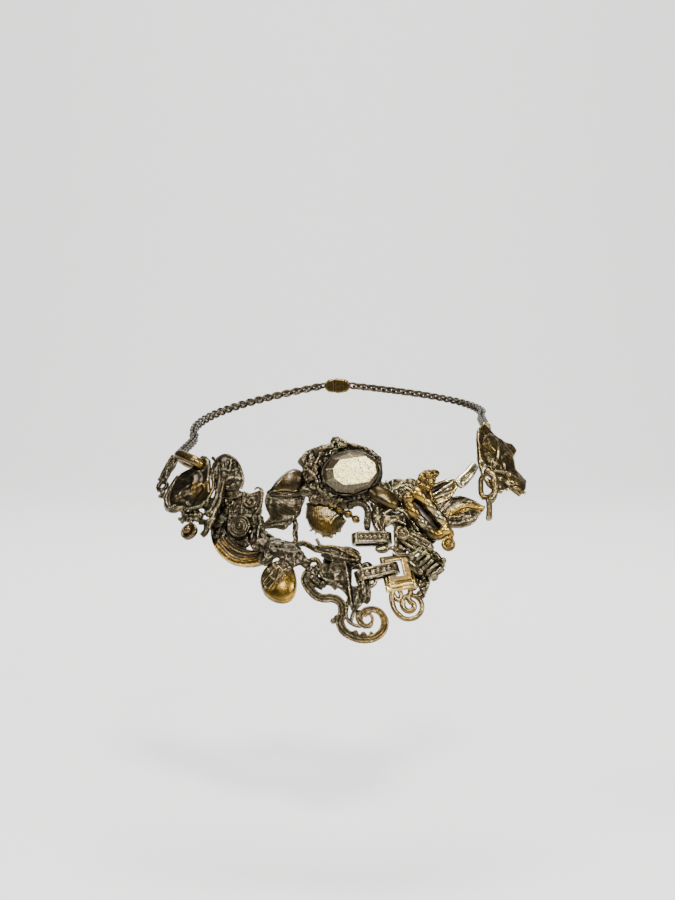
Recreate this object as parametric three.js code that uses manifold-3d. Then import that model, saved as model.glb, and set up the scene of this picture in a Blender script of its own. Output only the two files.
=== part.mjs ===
// Collar choker of cast antique bronze: leaves, scrolls, rings and plates linked into one
// rigid front, a large faceted stone, and a chain that closes the loop round the nape.
// Millimetres, +Z up, the front of the neck faces -Y, origin on the neck's axis.

import * as THREE from 'three';
import { mergeVertices } from 'three/addons/utils/BufferGeometryUtils.js';
import Module from 'manifold-3d';

const wasm = await Module();
wasm.setup();

// ---- Driving dimensions -------------------------------------------------------------------

// The neck that the collar is bent to: an oval column that flares into shoulders and chest.
const NECK = {
  halfWidth: 57, shoulderFlare: 84, shoulderHeight: 12, shoulderSpread: 9,
  halfDepth: 57, chestFlare: 40, chestHeight: -20, chestSpread: 18, roundness: 2.2,
};

// Lifts of the lower two layers of metal above the neck, and the plate thickness.
const LAYER = { back: 0.6, middle: 2.8 };
const PLATE = 1.6;
const EDGE = 0.4;          // chamfer round a cast plate

// Panels: flat work planes laid on the neck, x and z in its front view, turn about the
// vertical and lean back from it in degrees; forward stands a panel off the neck.
const PANELS = {
  leftEnd: { x: -57, z: 14, turn: -33, lean: 36 },
  leftMiddle: { x: -38, z: 8, turn: -14, lean: 24 },
  centreTop: { x: 0, z: 16, turn: 0, lean: 15 },
  centreLow: { x: -4, z: -16, turn: -1, lean: 28 },
  rightMiddle: { x: 28, z: 0, turn: 7, lean: 23 },
  rightEnd: { x: 50, z: 13, turn: 19, lean: 30 },
  shoulder: { x: 63.8, z: 28, turn: 42, lean: 32, forward: 16.5 },
};

const STONE = { length: 20.4, width: 15.6, table: 0.68, tableWidth: 0.6, pavilion: 1.4, crown: 3.2 };
const STONE_SEAT = { x: 5.2, y: 7.7, lift: 5.2, roll: 8 };
const SETTING_SEAT = { x: 1.9, y: 8.9, lift: LAYER.middle };
const BEZEL = { gap: 0.4, wall: 1.1, height: 2.6, plate: 2.0 };

// Rings: outside length and width, and thickness of the wire.
const END_RING = { length: 14.8, width: 8, wire: 2.3 };
const SMOOTH_LINK = { length: 12.6, width: 8.4, wire: 2.8 };
const LONG_LINK = { length: 22, width: 9.6, wire: 3 };
const SHOULDER_RING = { length: 12.4, width: 8, wire: 2.1 };

// Straps: band rings with an oval section, seen on their outside face.
const STRAP = { depth: 6.4, band: 4.4, wall: 1.2 };
const UPPER_STRAP_LENGTH = 15.6;
const LOWER_STRAP_LENGTH = 17.6;

const BUCKLE = {
  width: 12.4, height: 14, thickness: 2.2, chamfer: 0.7, slotWidth: 3.2, slotHeight: 6.2, slotRise: 1.6,
};

// The chain lies on an ellipse round the neck and climbs to the nape.
const CHAIN = {
  radius: 2.1, sides: 8, halfWidth: 60.5, halfDepth: 62, centreY: 3, napeZ: 54,
  firstAngle: -12, claspAngle: 6.5,
};
const CHAIN_STARTS = {
  left: { side: -1, startX: 62.6, startY: -36, startZ: 30.6 },
  right: { side: 1, startX: 59.2, startY: -31, startZ: 41.6 },
};
const CLASP = { length: 12, width: 6, thickness: 2.4 };

// ---- Materials ----------------------------------------------------------------------------

const bronze = (name, color, roughness) => {
  const material = new THREE.MeshStandardMaterial({ color, roughness, metalness: 1 });
  material.name = name;
  return material;
};
const DARK_BRONZE = bronze('dark_bronze', 0x4b3f2b, 0.5);
const WORN_BRASS = bronze('worn_brass', 0x9a7c3a, 0.35);
const GILT_STONE = bronze('gilt_stone', 0xb9a25e, 0.25);

// ---- Solids -------------------------------------------------------------------------------

const radians = THREE.MathUtils.degToRad;

function toSolid(geometry) {
  const bare = geometry.clone();
  bare.deleteAttribute('normal');
  bare.deleteAttribute('uv');
  const merged = mergeVertices(bare, 1e-4);
  const triVerts = new Uint32Array(merged.index.array);
  const vertProperties = new Float32Array(merged.attributes.position.array);
  return new wasm.Manifold(new wasm.Mesh({ numProp: 3, vertProperties, triVerts }));
}

function toGeometry(manifold) {
  const { vertProperties, triVerts } = manifold.getMesh();
  const geometry = new THREE.BufferGeometry();
  geometry.setAttribute('position', new THREE.BufferAttribute(new Float32Array(vertProperties), 3));
  geometry.setIndex(new THREE.BufferAttribute(new Uint32Array(triVerts), 1));
  geometry.computeVertexNormals();
  return geometry;
}

// One casting out of several shapes, less any cutters.
function casting(shapes, cutters = []) {
  let whole = toSolid(shapes[0]);
  for (const shape of shapes.slice(1)) whole = whole.add(toSolid(shape));
  for (const cutter of cutters) whole = whole.subtract(toSolid(cutter));
  return toGeometry(whole);
}

// ---- Outlines and basic shapes ------------------------------------------------------------

// A smooth closed outline through a few points, given in halves of its width and height.
function outline(width, height, points, perSpan = 2) {
  const corners = points.map(([x, y]) => new THREE.Vector3(x * width / 2, y * height / 2, 0));
  const curve = new THREE.CatmullRomCurve3(corners, true, 'centripetal');
  const stops = curve.getPoints(corners.length * perSpan).slice(0, -1);
  return new THREE.Shape(stops.map((p) => new THREE.Vector2(p.x, p.y)));
}

// A leaf along +X from its stalk at -length/2 to its tip; belly moves the widest place.
function leafOutline(length, width, belly = 1, stations = 9) {
  const upper = [];
  for (let i = 1; i < stations; i += 1) {
    const along = i / stations;
    const half = width / 2 * Math.sin(Math.PI * along ** belly);
    upper.push(new THREE.Vector2((along - 0.5) * length, half));
  }
  const lower = upper.map((p) => new THREE.Vector2(p.x, -p.y));
  const stalk = new THREE.Vector2(-length / 2, 0);
  const tip = new THREE.Vector2(length / 2, 0);
  return new THREE.Shape([stalk, ...lower, tip, ...upper.reverse()]);
}

// A band along an arc, widening from start to middle and narrowing to its end.
function crescentOutline({ radius, from, to, startWidth, middleWidth, endWidth }, stations = 12) {
  const outer = [];
  const inner = [];
  for (let i = 0; i <= stations; i += 1) {
    const along = i / stations;
    const angle = radians(from + (to - from) * along);
    const ends = startWidth + (endWidth - startWidth) * along;
    const width = ends + (middleWidth - ends) * Math.sin(Math.PI * along);
    outer.push(new THREE.Vector2(radius * Math.cos(angle), radius * Math.sin(angle)));
    inner.push(new THREE.Vector2((radius - width) * Math.cos(angle), (radius - width) * Math.sin(angle)));
  }
  return new THREE.Shape([...outer, ...inner.reverse()]);
}

function rectangle(width, height) {
  const [x, y] = [width / 2, height / 2];
  return new THREE.Shape([[-x, -y], [x, -y], [x, y], [-x, y]].map(([px, py]) => new THREE.Vector2(px, py)));
}

function plate(shape, thickness = PLATE, edge = EDGE, edgeSteps = 1) {
  const options = {
    depth: thickness - 2 * edge, bevelEnabled: true, bevelThickness: edge,
    bevelSize: edge, bevelOffset: -edge, bevelSegments: edgeSteps, curveSegments: 6,
  };
  return new THREE.ExtrudeGeometry(shape, options).translate(0, 0, edge);
}

function polygon(radius, sides) {
  const corner = (i) => {
    const angle = i / sides * 2 * Math.PI;
    return new THREE.Vector2(radius * Math.cos(angle), radius * Math.sin(angle));
  };
  return new THREE.Shape(Array.from({ length: sides }, (_, i) => corner(i)));
}

// A round rod along a smooth path; points are [x, y] or [x, y, z].
function rod(points, radius, steps = 16, sides = 6) {
  const path = new THREE.CatmullRomCurve3(points.map(([x, y, z = 0]) => new THREE.Vector3(x, y, z)));
  return new THREE.ExtrudeGeometry(polygon(radius, sides), { steps, extrudePath: path, bevelEnabled: false });
}

function ball(radius, x = 0, y = 0, z = 0) {
  return new THREE.IcosahedronGeometry(radius, 1).translate(x, y, z);
}

function drill(radius, x, y) {
  return new THREE.CylinderGeometry(radius, radius, 20, 12).rotateX(Math.PI / 2).translate(x, y, 0);
}

function slot(width, height, x, y) {
  return new THREE.BoxGeometry(width, height, 20).translate(x, y, 0);
}

// A round turned piece whose axis points out of its panel.
function turned(profile, segments = 16) {
  const points = profile.map(([r, h]) => new THREE.Vector2(r, h));
  return new THREE.LatheGeometry(points, segments).rotateX(Math.PI / 2);
}

// An oval ring along X: a torus with its halves drawn apart.
function ovalRing({ length, width, wire }, sides = 8, around = 18) {
  const ring = new THREE.TorusGeometry((width - wire) / 2, wire / 2, sides, around);
  const place = ring.attributes.position;
  for (let i = 0; i < place.count; i += 1) {
    place.setX(i, place.getX(i) + Math.sign(place.getX(i)) * (length - width) / 2);
  }
  return ring;
}

// The same ring on its edge, so that one long side faces out of the panel.
function edgewiseRing(sizes) {
  return ovalRing(sizes).rotateX(Math.PI / 2);
}

// A band ring on its edge: an oval tube of sheet metal.
function strap(length) {
  const { depth, band, wall } = STRAP;
  const oval = (long, deep, Curve) => {
    const reach = (long - deep) / 2;
    const half = Math.PI / 2;
    return new Curve().absarc(reach, 0, deep / 2, -half, half).absarc(-reach, 0, deep / 2, half, 3 * half);
  };
  const section = oval(length, depth, THREE.Shape);
  section.holes.push(oval(length - 2 * wall, depth - 2 * wall, THREE.Path));
  const options = { depth: band, bevelEnabled: false, curveSegments: 6 };
  return new THREE.ExtrudeGeometry(section, options).rotateX(Math.PI / 2).translate(0, band / 2, 0);
}

// A flat spiral that starts at the given angle and winds in by whole and part turns.
function spiral({ x, y, start, end, from, turns, points = 12 }) {
  return Array.from({ length: points }, (_, i) => {
    const along = i / (points - 1);
    const angle = radians(from + turns * 360 * along);
    const radius = start + (end - start) * along;
    return [x + radius * Math.cos(angle), y + radius * Math.sin(angle)];
  });
}

// ---- The neck and its panels --------------------------------------------------------------

function neckFront(x, z) {
  const flare = (height, spread) => 1 / (1 + Math.exp((z - height) / spread));
  const halfWidth = NECK.halfWidth + NECK.shoulderFlare * flare(NECK.shoulderHeight, NECK.shoulderSpread);
  const halfDepth = NECK.halfDepth + NECK.chestFlare * flare(NECK.chestHeight, NECK.chestSpread);
  const across = Math.abs(x) / halfWidth;
  return -halfDepth * (1 - across ** NECK.roundness) ** (1 / NECK.roundness);
}

const collar = new THREE.Group();

function makePanel({ x, z, turn, lean, forward = 0 }) {
  const panel = new THREE.Group();
  panel.position.set(x, neckFront(x, z) - forward, z);
  panel.rotation.set(radians(90 - lean), 0, radians(turn), 'ZYX');
  collar.add(panel);
  return panel;
}

const panels = Object.fromEntries(Object.entries(PANELS).map(([name, seat]) => [name, makePanel(seat)]));

function add(name, panel, material, geometry, { x = 0, y = 0, lift = 0, roll = 0, twist = 0 } = {}) {
  const mesh = new THREE.Mesh(geometry, material);
  mesh.name = name;
  mesh.position.set(x, y, lift);
  mesh.rotation.set(radians(twist), 0, radians(roll), 'ZYX');
  panel.add(mesh);
}

// ---- Left end: crumpled plate, its ring and the beads below -------------------------------

function petalPlate() {
  const shape = outline(22, 26.5, [
    [-0.15, 1], [0.3, 0.85], [0.55, 0.3], [0.9, -0.3], [1, -0.7], [0.6, -0.82], [0.15, -0.78],
    [-0.3, -1], [-0.75, -0.95], [-1, -0.6], [-0.8, -0.1], [-0.75, 0.35], [-0.35, 0.55]]);
  return casting([plate(shape)], [drill(1.9, 0, 8.45)]);
}

function twistedLoop() {
  const bar = rod([[-0.8, 8], [0.2, 5.4], [-0.8, 1], [-1.2, -4]], 1.4);
  const foot = rod([[0.2, -7.6], [1.6, -9.6], [3.4, -10.8]], 1.2, 6);
  return casting([bar, new THREE.TorusGeometry(2, 1.05, 6, 12).translate(-0.6, -5.6, 0), foot]);
}

function pebbleCluster() {
  const rows = [{ count: 4, y: 1.2, shift: 0 }, { count: 3, y: -0.9, shift: 0.9 }];
  const pebbles = rows.flatMap(({ count, y, shift }) => Array.from(
    { length: count }, (_, i) => ball(1.3, shift + (i - 1.5) * 1.9, y, 0)));
  return casting(pebbles);
}

function ballButton() {
  const rim = [[2.6, 0], [3.5, 0.7], [3.5, 1.7], [2.8, 2.3], [2.1, 1.5]];
  const dome = [[1.7, 2.7], [0.9, 3.5], [0, 3.7]];
  return turned([[0, 0], ...rim, ...dome]);
}

add('petal_plate', panels.leftEnd, DARK_BRONZE, petalPlate(), { x: 1.6, y: 3.9, lift: 3.2 });
add('twisted_loop', panels.leftEnd, DARK_BRONZE, twistedLoop(), { x: -13.1, y: 8.2, lift: 3.4 });
add('left_ring', panels.leftEnd, WORN_BRASS, edgewiseRing(END_RING), {
  x: -4.4, y: 14.2, lift: 4.1, roll: -17,
});
add('pebble_cluster', panels.leftEnd, DARK_BRONZE, pebbleCluster(), { x: 4.5, y: -10.1, lift: 2.6 });
add('ball_button', panels.leftEnd, WORN_BRASS, ballButton(), { x: 7.4, y: -16.2, lift: 1 });

// ---- Left middle: engraved leaf, filigree, ringed button and crescent ----------------------

function leftLeaf() {
  return plate(outline(13.4, 14.6, [
    [-0.65, 1], [0, 0.85], [0.6, 0.35], [1, -0.4], [0.85, -0.85], [0.2, -1], [-0.5, -0.9], [-0.95, -0.35],
    [-1, 0.35]]));
}

function filigreePanel() {
  return plate(outline(16.8, 11.4, [
    [-1, 0], [-0.8, 0.6], [-0.2, 0.85], [0.4, 0.75], [0.85, 1], [1, 0.75],
    [0.92, 0], [1, -0.7], [0.5, -1], [-0.2, -0.9], [-0.8, -0.8]]));
}

function ringedButton() {
  const ring = (r) => [[r + 0.4, 1.9], [r, 2.3], [r - 0.5, 1.9]];
  return turned([[0, 0], [4, 0], [4.4, 0.6], ...ring(3.9), ...ring(2.6), [1.3, 2], [1, 2.8], [0, 3.1]]);
}

function crescent() {
  const shape = crescentOutline({
    radius: 16.4, from: 174, to: 300, startWidth: 4, middleWidth: 8, endWidth: 6.4 });
  return plate(shape, 2.6, 0.9, 2);
}

add('engraved_leaf', panels.leftMiddle, DARK_BRONZE, leftLeaf(), { x: -5.4, y: 16.2, lift: LAYER.middle });
add('filigree_panel', panels.leftMiddle, DARK_BRONZE, filigreePanel(), { x: 1, y: 4.6, lift: LAYER.back });
add('ringed_button', panels.leftMiddle, DARK_BRONZE, ringedButton(), { x: 2.2, y: -6.1, lift: 3.6 });
add('crescent', panels.leftMiddle, WORN_BRASS, crescent(), { x: 6, y: -5, lift: LAYER.back });

// ---- Centre top: shell leaf, stone in its setting, shield and beads ------------------------

function shellLeaf() {
  return plate(outline(18, 24, [
    [0.5, 1], [0.92, 0.85], [1, 0.4], [0.85, -0.05], [0.55, -0.45], [0.3, -0.72], [-0.05, -1],
    [-0.5, -0.88], [-1, -0.97], [-0.62, -0.66], [-0.46, -0.4], [-0.55, 0], [-0.48, 0.35], [-0.05, 0.75]]));
}

function stone() {
  const { length, width, table, tableWidth, pavilion, crown } = STONE;
  const facets = 10;
  const oval = (long, wide, z) => Array.from({ length: facets }, (_, i) => {
    const angle = (i + 0.5) / facets * 2 * Math.PI;
    return [long / 2 * Math.cos(angle), wide / 2 * Math.sin(angle), z];
  });
  return ringedSolid([
    oval(length * 0.8, width * 0.8, 0), oval(length, width, pavilion), oval(length, width, pavilion + 0.8),
    oval(length * 0.9, width * 0.86, pavilion + 2),
    oval(length * table, width * tableWidth, pavilion + crown),
  ]);
}

// A closed solid through rings of points, flat at both ends.
function ringedSolid(rings) {
  const count = rings[0].length;
  const index = [];
  for (let i = 1; i < count - 1; i += 1) index.push(0, i + 1, i);
  for (let r = 0; r < rings.length - 1; r += 1) {
    for (let i = 0; i < count; i += 1) {
      const [a, b] = [r * count + i, r * count + (i + 1) % count];
      index.push(a, b, b + count, a, b + count, a + count);
    }
  }
  const last = (rings.length - 1) * count;
  for (let i = 1; i < count - 1; i += 1) index.push(last, last + i, last + i + 1);
  const geometry = new THREE.BufferGeometry();
  geometry.setAttribute('position', new THREE.Float32BufferAttribute(rings.flat(2), 3));
  geometry.setIndex(index);
  geometry.computeVertexNormals();
  return geometry;
}

function stoneSetting() {
  const shape = outline(31, 22, [
    [-1, 0.55], [-0.75, 0.8], [-0.4, 0.8], [-0.2, 1], [0.1, 1], [0.6, 0.85], [0.95, 0.5], [1, 0],
    [0.95, -0.5], [0.7, -0.85], [0.3, -1], [-0.15, -0.95], [-0.45, -0.7], [-0.65, -0.85], [-0.9, -0.65],
    [-0.98, -0.1]]);
  const seat = STONE.length / 2 + BEZEL.gap;
  const squash = (STONE.width + 2 * BEZEL.gap) / (STONE.length + 2 * BEZEL.gap);
  const [low, high] = [BEZEL.plate - 0.2, BEZEL.plate - 0.2 + BEZEL.height];
  const wall = [[seat, low], [seat + BEZEL.wall, low], [seat + BEZEL.wall, high], [seat, high], [seat, low]];
  const rim = turned(wall, 20).scale(1, squash, 1).rotateZ(radians(STONE_SEAT.roll));
  rim.translate(STONE_SEAT.x - SETTING_SEAT.x, STONE_SEAT.y - SETTING_SEAT.y, 0);
  const knob = new THREE.TorusGeometry(1.5, 0.8, 6, 12).translate(-2.4, 11.4, 1);
  const lumps = [[-12, 4.5, 2], [-10.5, 0.5, 2.2], [-12.2, -3, 1.7], [-8.6, 6.6, 1.8]];
  const nugget = lumps.map(([x, y, r]) => ball(r, x, y, BEZEL.plate));
  const [eyeX, eyeY] = [11.9, -9.8];
  const eye = new THREE.TorusGeometry(2.8, 0.7, 6, 14).translate(eyeX, eyeY, 0.8);
  return casting([plate(shape, BEZEL.plate), rim, knob, ...nugget, eye], [drill(2.1, eyeX, eyeY)]);
}

function shield() {
  return plate(outline(15.4, 15.6, [
    [-0.95, 0.65], [-0.6, 1], [-0.15, 0.8], [0.2, 0.45], [0.6, 0.2], [1, -0.15], [0.75, -0.5], [0.5, -0.75],
    [0.05, -1], [-0.4, -0.8], [-0.85, -0.45], [-1, 0.1]]));
}

function beadRow() {
  const beads = [[-5.6, 3.6], [-2.4, 1.7], [0.9, 0], [3.8, -2]];
  const wire = rod([[-5.6, 3.6], [0.9, 0], [5.2, -3.1]], 0.7, 8);
  return casting([wire, ...beads.map(([x, y]) => ball(1.3, x, y, 0))]);
}

function ribbedArc() {
  const arch = spiral({ x: 0, y: 0, start: 4, end: 3.8, from: 140, turns: -0.42, points: 7 });
  return rod([...arch, [3.6, -4.4], [3.2, -6.4]], 1.1, 18);
}

add('shell_leaf', panels.centreTop, DARK_BRONZE, shellLeaf(), { x: -21.4, y: -1.7, lift: LAYER.back });
add('stone', panels.centreTop, GILT_STONE, stone(), STONE_SEAT);
add('stone_setting', panels.centreTop, DARK_BRONZE, stoneSetting(), SETTING_SEAT);
add('shield', panels.centreTop, WORN_BRASS, shield(), { x: -4.2, y: -9, lift: LAYER.back });
add('bead_row', panels.centreTop, WORN_BRASS, beadRow(), { x: 3.2, y: -7.9, lift: 3.8 });
add('ribbed_arc', panels.centreTop, DARK_BRONZE, ribbedArc(), { x: 7.8, y: -7.8, lift: 6 });
add('smooth_link', panels.centreTop, WORN_BRASS, edgewiseRing(SMOOTH_LINK), {
  x: 18, y: -3.1, lift: 3.3, roll: -28,
});

// ---- Centre low: branch, knot, drop, flower and the great scroll ---------------------------

function branch() {
  const trunk = rod([[-5.8, 8.6], [-5.6, 4], [-5.2, -1.4], [-5.6, -5]], 1.1, 12);
  const arm = rod([[-5.2, -1.4], [-1, -1.9], [2, -3.4], [4.6, -4.2]], 1, 10);
  return casting([trunk, arm]);
}

function ridgeLeaf() {
  return plate(leafOutline(14, 4.6, 0.9));
}

function knot() {
  return plate(outline(16, 10.6, [
    [-1, 0.4], [-0.6, 1], [0, 0.85], [0.6, 0.7], [1, 0.1], [0.95, -0.6], [0.5, -1], [0.2, -0.7],
    [-0.3, -0.2], [-0.8, -0.6]]), 2.2, 0.7);
}

function scoredDrop() {
  return plate(outline(14, 17.4, [
    [-0.85, 0.5], [-0.4, 0.85], [0.15, 1], [0.7, 0.8], [0.98, 0.2], [1, -0.4], [0.75, -0.85],
    [0.3, -1], [-0.25, -0.92], [-0.75, -0.6], [-1, 0]]), 3, 1.1, 2);
}

function flower() {
  const shape = outline(15.4, 19.6, [
    [-1, 0.55], [-0.5, 0.9], [0.1, 1], [0.5, 0.88], [0.95, 0.55], [1, 0.1], [0.88, -0.35], [0.6, -0.9],
    [0.3, -1], [0.05, -0.6], [-0.35, -0.22], [-0.85, -0.1]]);
  return casting([plate(shape)], [slot(3.4, 6.8, 3.65, 2.25)]);
}

function stem() {
  return rod([[0.4, 2.4], [-0.3, 0.2], [-0.6, -2]], 0.8, 8);
}

function greatScroll() {
  const hook = spiral({ x: -10.6, y: 10.4, start: 4, end: 4.2, from: 85, turns: 0.32, points: 5 });
  const sweep = [
    [-12, 5], [-8.5, 2.8], [-4.2, 2.8], [-1.2, 0.8], [-0.5, -3], [-1.5, -6.5], [-0.3, -9.8], [3.2, -12.4]];
  const curl = spiral({ x: 9.4, y: -6.2, start: 7.5, end: 1.1, from: 254, turns: 1.2, points: 14 });
  const band = rod([...hook, ...sweep, ...curl], 1.1, 48);
  const beads = [[4.3, -11.2, 0.6], [7.4, -11.8, 0.6], [-2.4, -5, 0.2], [-4, -6, 0]];
  return casting([band, ...beads.map(([x, y, z]) => ball(1.3, x, y, z))]);
}

function innerScroll() {
  return casting([rod([[-4, 3.6], [-3, 0.6], [-0.4, -1.8]], 0.9, 10), ball(1.4, 0, -2.2, 0)]);
}

function twig() {
  return rod([[-6.4, 3.2], [-1.6, 1.2], [2.4, -1]], 0.9, 8);
}

add('twig', panels.centreLow, DARK_BRONZE, twig(), { x: -22.4, y: 17.4, lift: 1.6 });
add('knot', panels.centreLow, DARK_BRONZE, knot(), { x: -16.6, y: 9.2, lift: 4 });
add('scored_drop', panels.centreLow, WORN_BRASS, scoredDrop(), { x: -18.4, y: -0.8, lift: LAYER.back });
add('branch', panels.centreLow, DARK_BRONZE, branch(), { x: -6.8, y: 16.2, lift: 2 });
add('ridge_leaf', panels.centreLow, WORN_BRASS, ridgeLeaf(), { x: 5, y: 10.2, lift: 4.7, roll: -12 });
add('flower', panels.centreLow, DARK_BRONZE, flower(), { x: 7.6, y: -1.8, lift: 2.7 });
add('stem', panels.centreLow, DARK_BRONZE, stem(), { x: 9.8, y: -14.8, lift: 1.6 });
add('great_scroll', panels.centreLow, WORN_BRASS, greatScroll(), { x: 6.6, y: -10.2, lift: 1.8 });
add('inner_scroll', panels.centreLow, DARK_BRONZE, innerScroll(), { x: -1.2, y: -0.3, lift: 3.8 });

// ---- Right middle: bark plate, long link, coil, square buckle and hoop ---------------------

function barkPlate() {
  const shape = outline(26.4, 27, [
    [-0.95, 0.25], [-0.75, 0.4], [-0.45, 0.5], [-0.2, 0.86], [0.05, 1], [0.38, 0.85], [0.65, 0.45],
    [0.88, 0.05], [1, -0.35], [0.9, -0.7], [0.55, -0.9], [0.15, -0.96], [-0.3, -0.96], [-0.6, -0.86],
    [-0.85, -0.5], [-1, 0]]);
  return casting([plate(shape)], [drill(1.7, -6.1, -4), slot(2.6, 5.8, -6, -8.1), drill(2.4, -3.4, 4.2)]);
}

function boss() {
  return turned([[0, 0], [2.2, 0], [2.8, 0.6], [2.8, 1.3], [2.2, 1.7], [1.5, 1.2], [1, 1.9], [0, 2.1]], 12);
}

function scrollPin() {
  const bar = rod([[-4.4, 2.2], [0, 0], [5.6, -3.4]], 1.05, 8);
  const second = rod([[-3.4, 2.8], [1, 1.2], [5.8, -1.6]], 0.9, 8);
  return casting([bar, second, ball(1.7, -4.4, 2.2, 0)]);
}

function coil() {
  const turns = 4;
  const perTurn = 8;
  const points = Array.from({ length: turns * perTurn + 1 }, (_, i) => {
    const angle = i / perTurn * 2 * Math.PI;
    return [2.9 * Math.cos(angle), 4.2 - i / (turns * perTurn) * 8.4, 1.7 * Math.sin(angle)];
  });
  return rod(points, 0.7, 44, 6);
}

function barkTip() {
  return plate(outline(7.6, 15.4, [
    [-0.7, 1], [0.2, 0.85], [0.95, 0.45], [0.7, -0.3], [0.3, -0.9], [0, -1], [-0.4, -0.6],
    [-0.75, 0.2]]), 1.8);
}

function buckle() {
  const { width, height, thickness, chamfer, slotWidth, slotHeight, slotRise } = BUCKLE;
  const tile = plate(rectangle(width, height), thickness, chamfer);
  return casting([tile], [slot(slotWidth, slotHeight, 0.2, slotRise)]);
}

function hoopScroll() {
  const curl = spiral({ x: 0.6, y: -0.4, start: 6.3, end: 1.4, from: 180, turns: 1.5, points: 16 });
  return rod([[-6.1, 3.2], ...curl], 0.75, 40);
}

function bud() {
  return plate(outline(8.2, 9.4, [
    [-0.8, 0.3], [-0.4, 0.8], [0.4, 1], [1, 0.5], [0.75, -0.3], [0.2, -0.9], [-0.5, -1],
    [-1, -0.4]]), 2.4, 0.9, 2);
}

function upperLeaf() {
  return plate(leafOutline(17.4, 7.4, 0.95));
}

const right = panels.rightMiddle;
add('bark_plate', right, DARK_BRONZE, barkPlate(), { x: -2.4, y: 6.5, lift: 3.4 });
add('long_link', right, WORN_BRASS, ovalRing(LONG_LINK), { x: 5.6, y: 6.8, lift: 7, roll: -53 });
add('snail_boss', right, WORN_BRASS, boss(), { x: 13.2, y: -5.3, lift: 7.2 });
add('scroll_pin', right, DARK_BRONZE, scrollPin(), { x: 0.2, y: -2.7, lift: 7.2 });
add('coil', right, DARK_BRONZE, coil(), { x: 5.5, y: -12.2, lift: 5.2, roll: 36 });
add('bark_tip', right, DARK_BRONZE, barkTip(), { x: 3.4, y: -15.6, lift: LAYER.back });
add('buckle', right, WORN_BRASS, buckle(), { x: -6, y: -14.9, lift: 2.5, roll: 8 });
add('hoop_scroll', right, WORN_BRASS, hoopScroll(), { x: -2.8, y: -27, lift: 2.6 });
add('upper_strap', right, DARK_BRONZE, strap(UPPER_STRAP_LENGTH), { x: -15.6, y: -1.6, lift: 4.2 });
add('lower_strap', right, DARK_BRONZE, strap(LOWER_STRAP_LENGTH), {
  x: -14.2, y: -14.8, lift: 3.6, roll: 12,
});
add('gold_bud', right, WORN_BRASS, bud(), { x: 6.8, y: 21.2, lift: 3.4 });
add('upper_leaf', right, DARK_BRONZE, upperLeaf(), { x: 12.4, y: 17.5, lift: LAYER.back, roll: 32 });

// ---- Right end: lower leaf, bright bar and the shoulder leaf on its ring -------------------

function lowerLeaf() {
  return plate(outline(20.6, 13.4, [
    [-1, 0.15], [-0.45, 0.75], [0, 1], [0.4, 0.88], [0.8, 0.5], [1, 0.12], [0.75, -0.3], [0.4, -0.85],
    [-0.45, -1], [-0.68, -0.65], [-0.9, -0.25]]));
}

function brightBar() {
  return plate(outline(12, 4, [
    [-1, -0.4], [-0.9, 0.9], [0, 0.8], [1, 1], [1, -0.2], [0.1, -0.9], [-0.9, -1]]));
}

// The link that carries the shoulder leaf, with its cast tail.
function shoulderRing() {
  return casting([ovalRing(SHOULDER_RING), rod([[-5.4, 0], [-9, 0.4], [-15, 0]], 1.15, 8)]);
}

function shoulderLeaf() {
  const shape = outline(24, 32.6, [
    [-0.4, 0.85], [0.05, 1], [0.35, 0.62], [0.9, 0.42], [1, 0.22], [0.66, 0], [0.62, -0.3], [0.85, -0.62],
    [0.25, -1], [-0.12, -0.72], [-0.52, -0.88], [-0.98, -0.66], [-1.05, -0.3], [-0.95, 0.05], [-0.7, 0.42]]);
  return casting([plate(shape)], [drill(3, -9.4, -5.2)]);
}

const end = panels.rightEnd;
add('lower_leaf', end, DARK_BRONZE, lowerLeaf(), { x: -4, y: -5, lift: LAYER.back });
add('bright_bar', end, WORN_BRASS, brightBar(), { x: 0.3, y: 8.4, lift: 4.8, roll: 38 });
add('shoulder_ring', end, WORN_BRASS, shoulderRing(), { x: 8.8, y: 4.8, lift: 4, roll: 80, twist: 75 });
add('shoulder_leaf', panels.shoulder, DARK_BRONZE, shoulderLeaf(), { lift: -PLATE / 2 });

// ---- Chain and clasp ------------------------------------------------------------------------

// The run of chain behind one side of the collar, from its front link to the clasp.
function chainRoute({ side, startX, startY, startZ }) {
  const stops = 10;
  const [first, last] = [CHAIN.firstAngle, 90 - CHAIN.claspAngle];
  const points = [new THREE.Vector3(side * startX, startY, startZ)];
  for (let i = 0; i <= stops; i += 1) {
    const angle = radians(first + (last - first) * i / stops);
    const climb = (i + 2) / (stops + 2);
    points.push(new THREE.Vector3(
      side * CHAIN.halfWidth * Math.cos(angle), CHAIN.centreY + CHAIN.halfDepth * Math.sin(angle),
      startZ + (CHAIN.napeZ - startZ) * climb));
  }
  return new THREE.CatmullRomCurve3(points);
}

function chainRun(route, from, to) {
  const stops = 9;
  const at = (i) => route.getPointAt(from + (to - from) * i / (stops - 1)).toArray();
  return rod(Array.from({ length: stops }, (_, i) => at(i)), CHAIN.radius, 12, CHAIN.sides);
}

const JOINT = 0.495;     // where each run is parted, close to half way
for (const [name, start] of Object.entries(CHAIN_STARTS)) {
  const route = chainRoute(start);
  add(`chain_${name}_side`, collar, DARK_BRONZE, chainRun(route, 0, JOINT));
  add(`chain_${name}_nape`, collar, DARK_BRONZE, chainRun(route, 1 - JOINT, 1));
}

function clasp() {
  const { length, width, thickness } = CLASP;
  const shape = outline(length, width, [[-1, 0], [-0.7, 0.9], [0.7, 0.9], [1, 0], [0.7, -0.9], [-0.7, -0.9]]);
  const backY = CHAIN.centreY + CHAIN.halfDepth + thickness / 2;
  return plate(shape, thickness).rotateX(Math.PI / 2).translate(0, backY, CHAIN.napeZ);
}

add('clasp', collar, WORN_BRASS, clasp());

export default collar;
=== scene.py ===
import math

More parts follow.
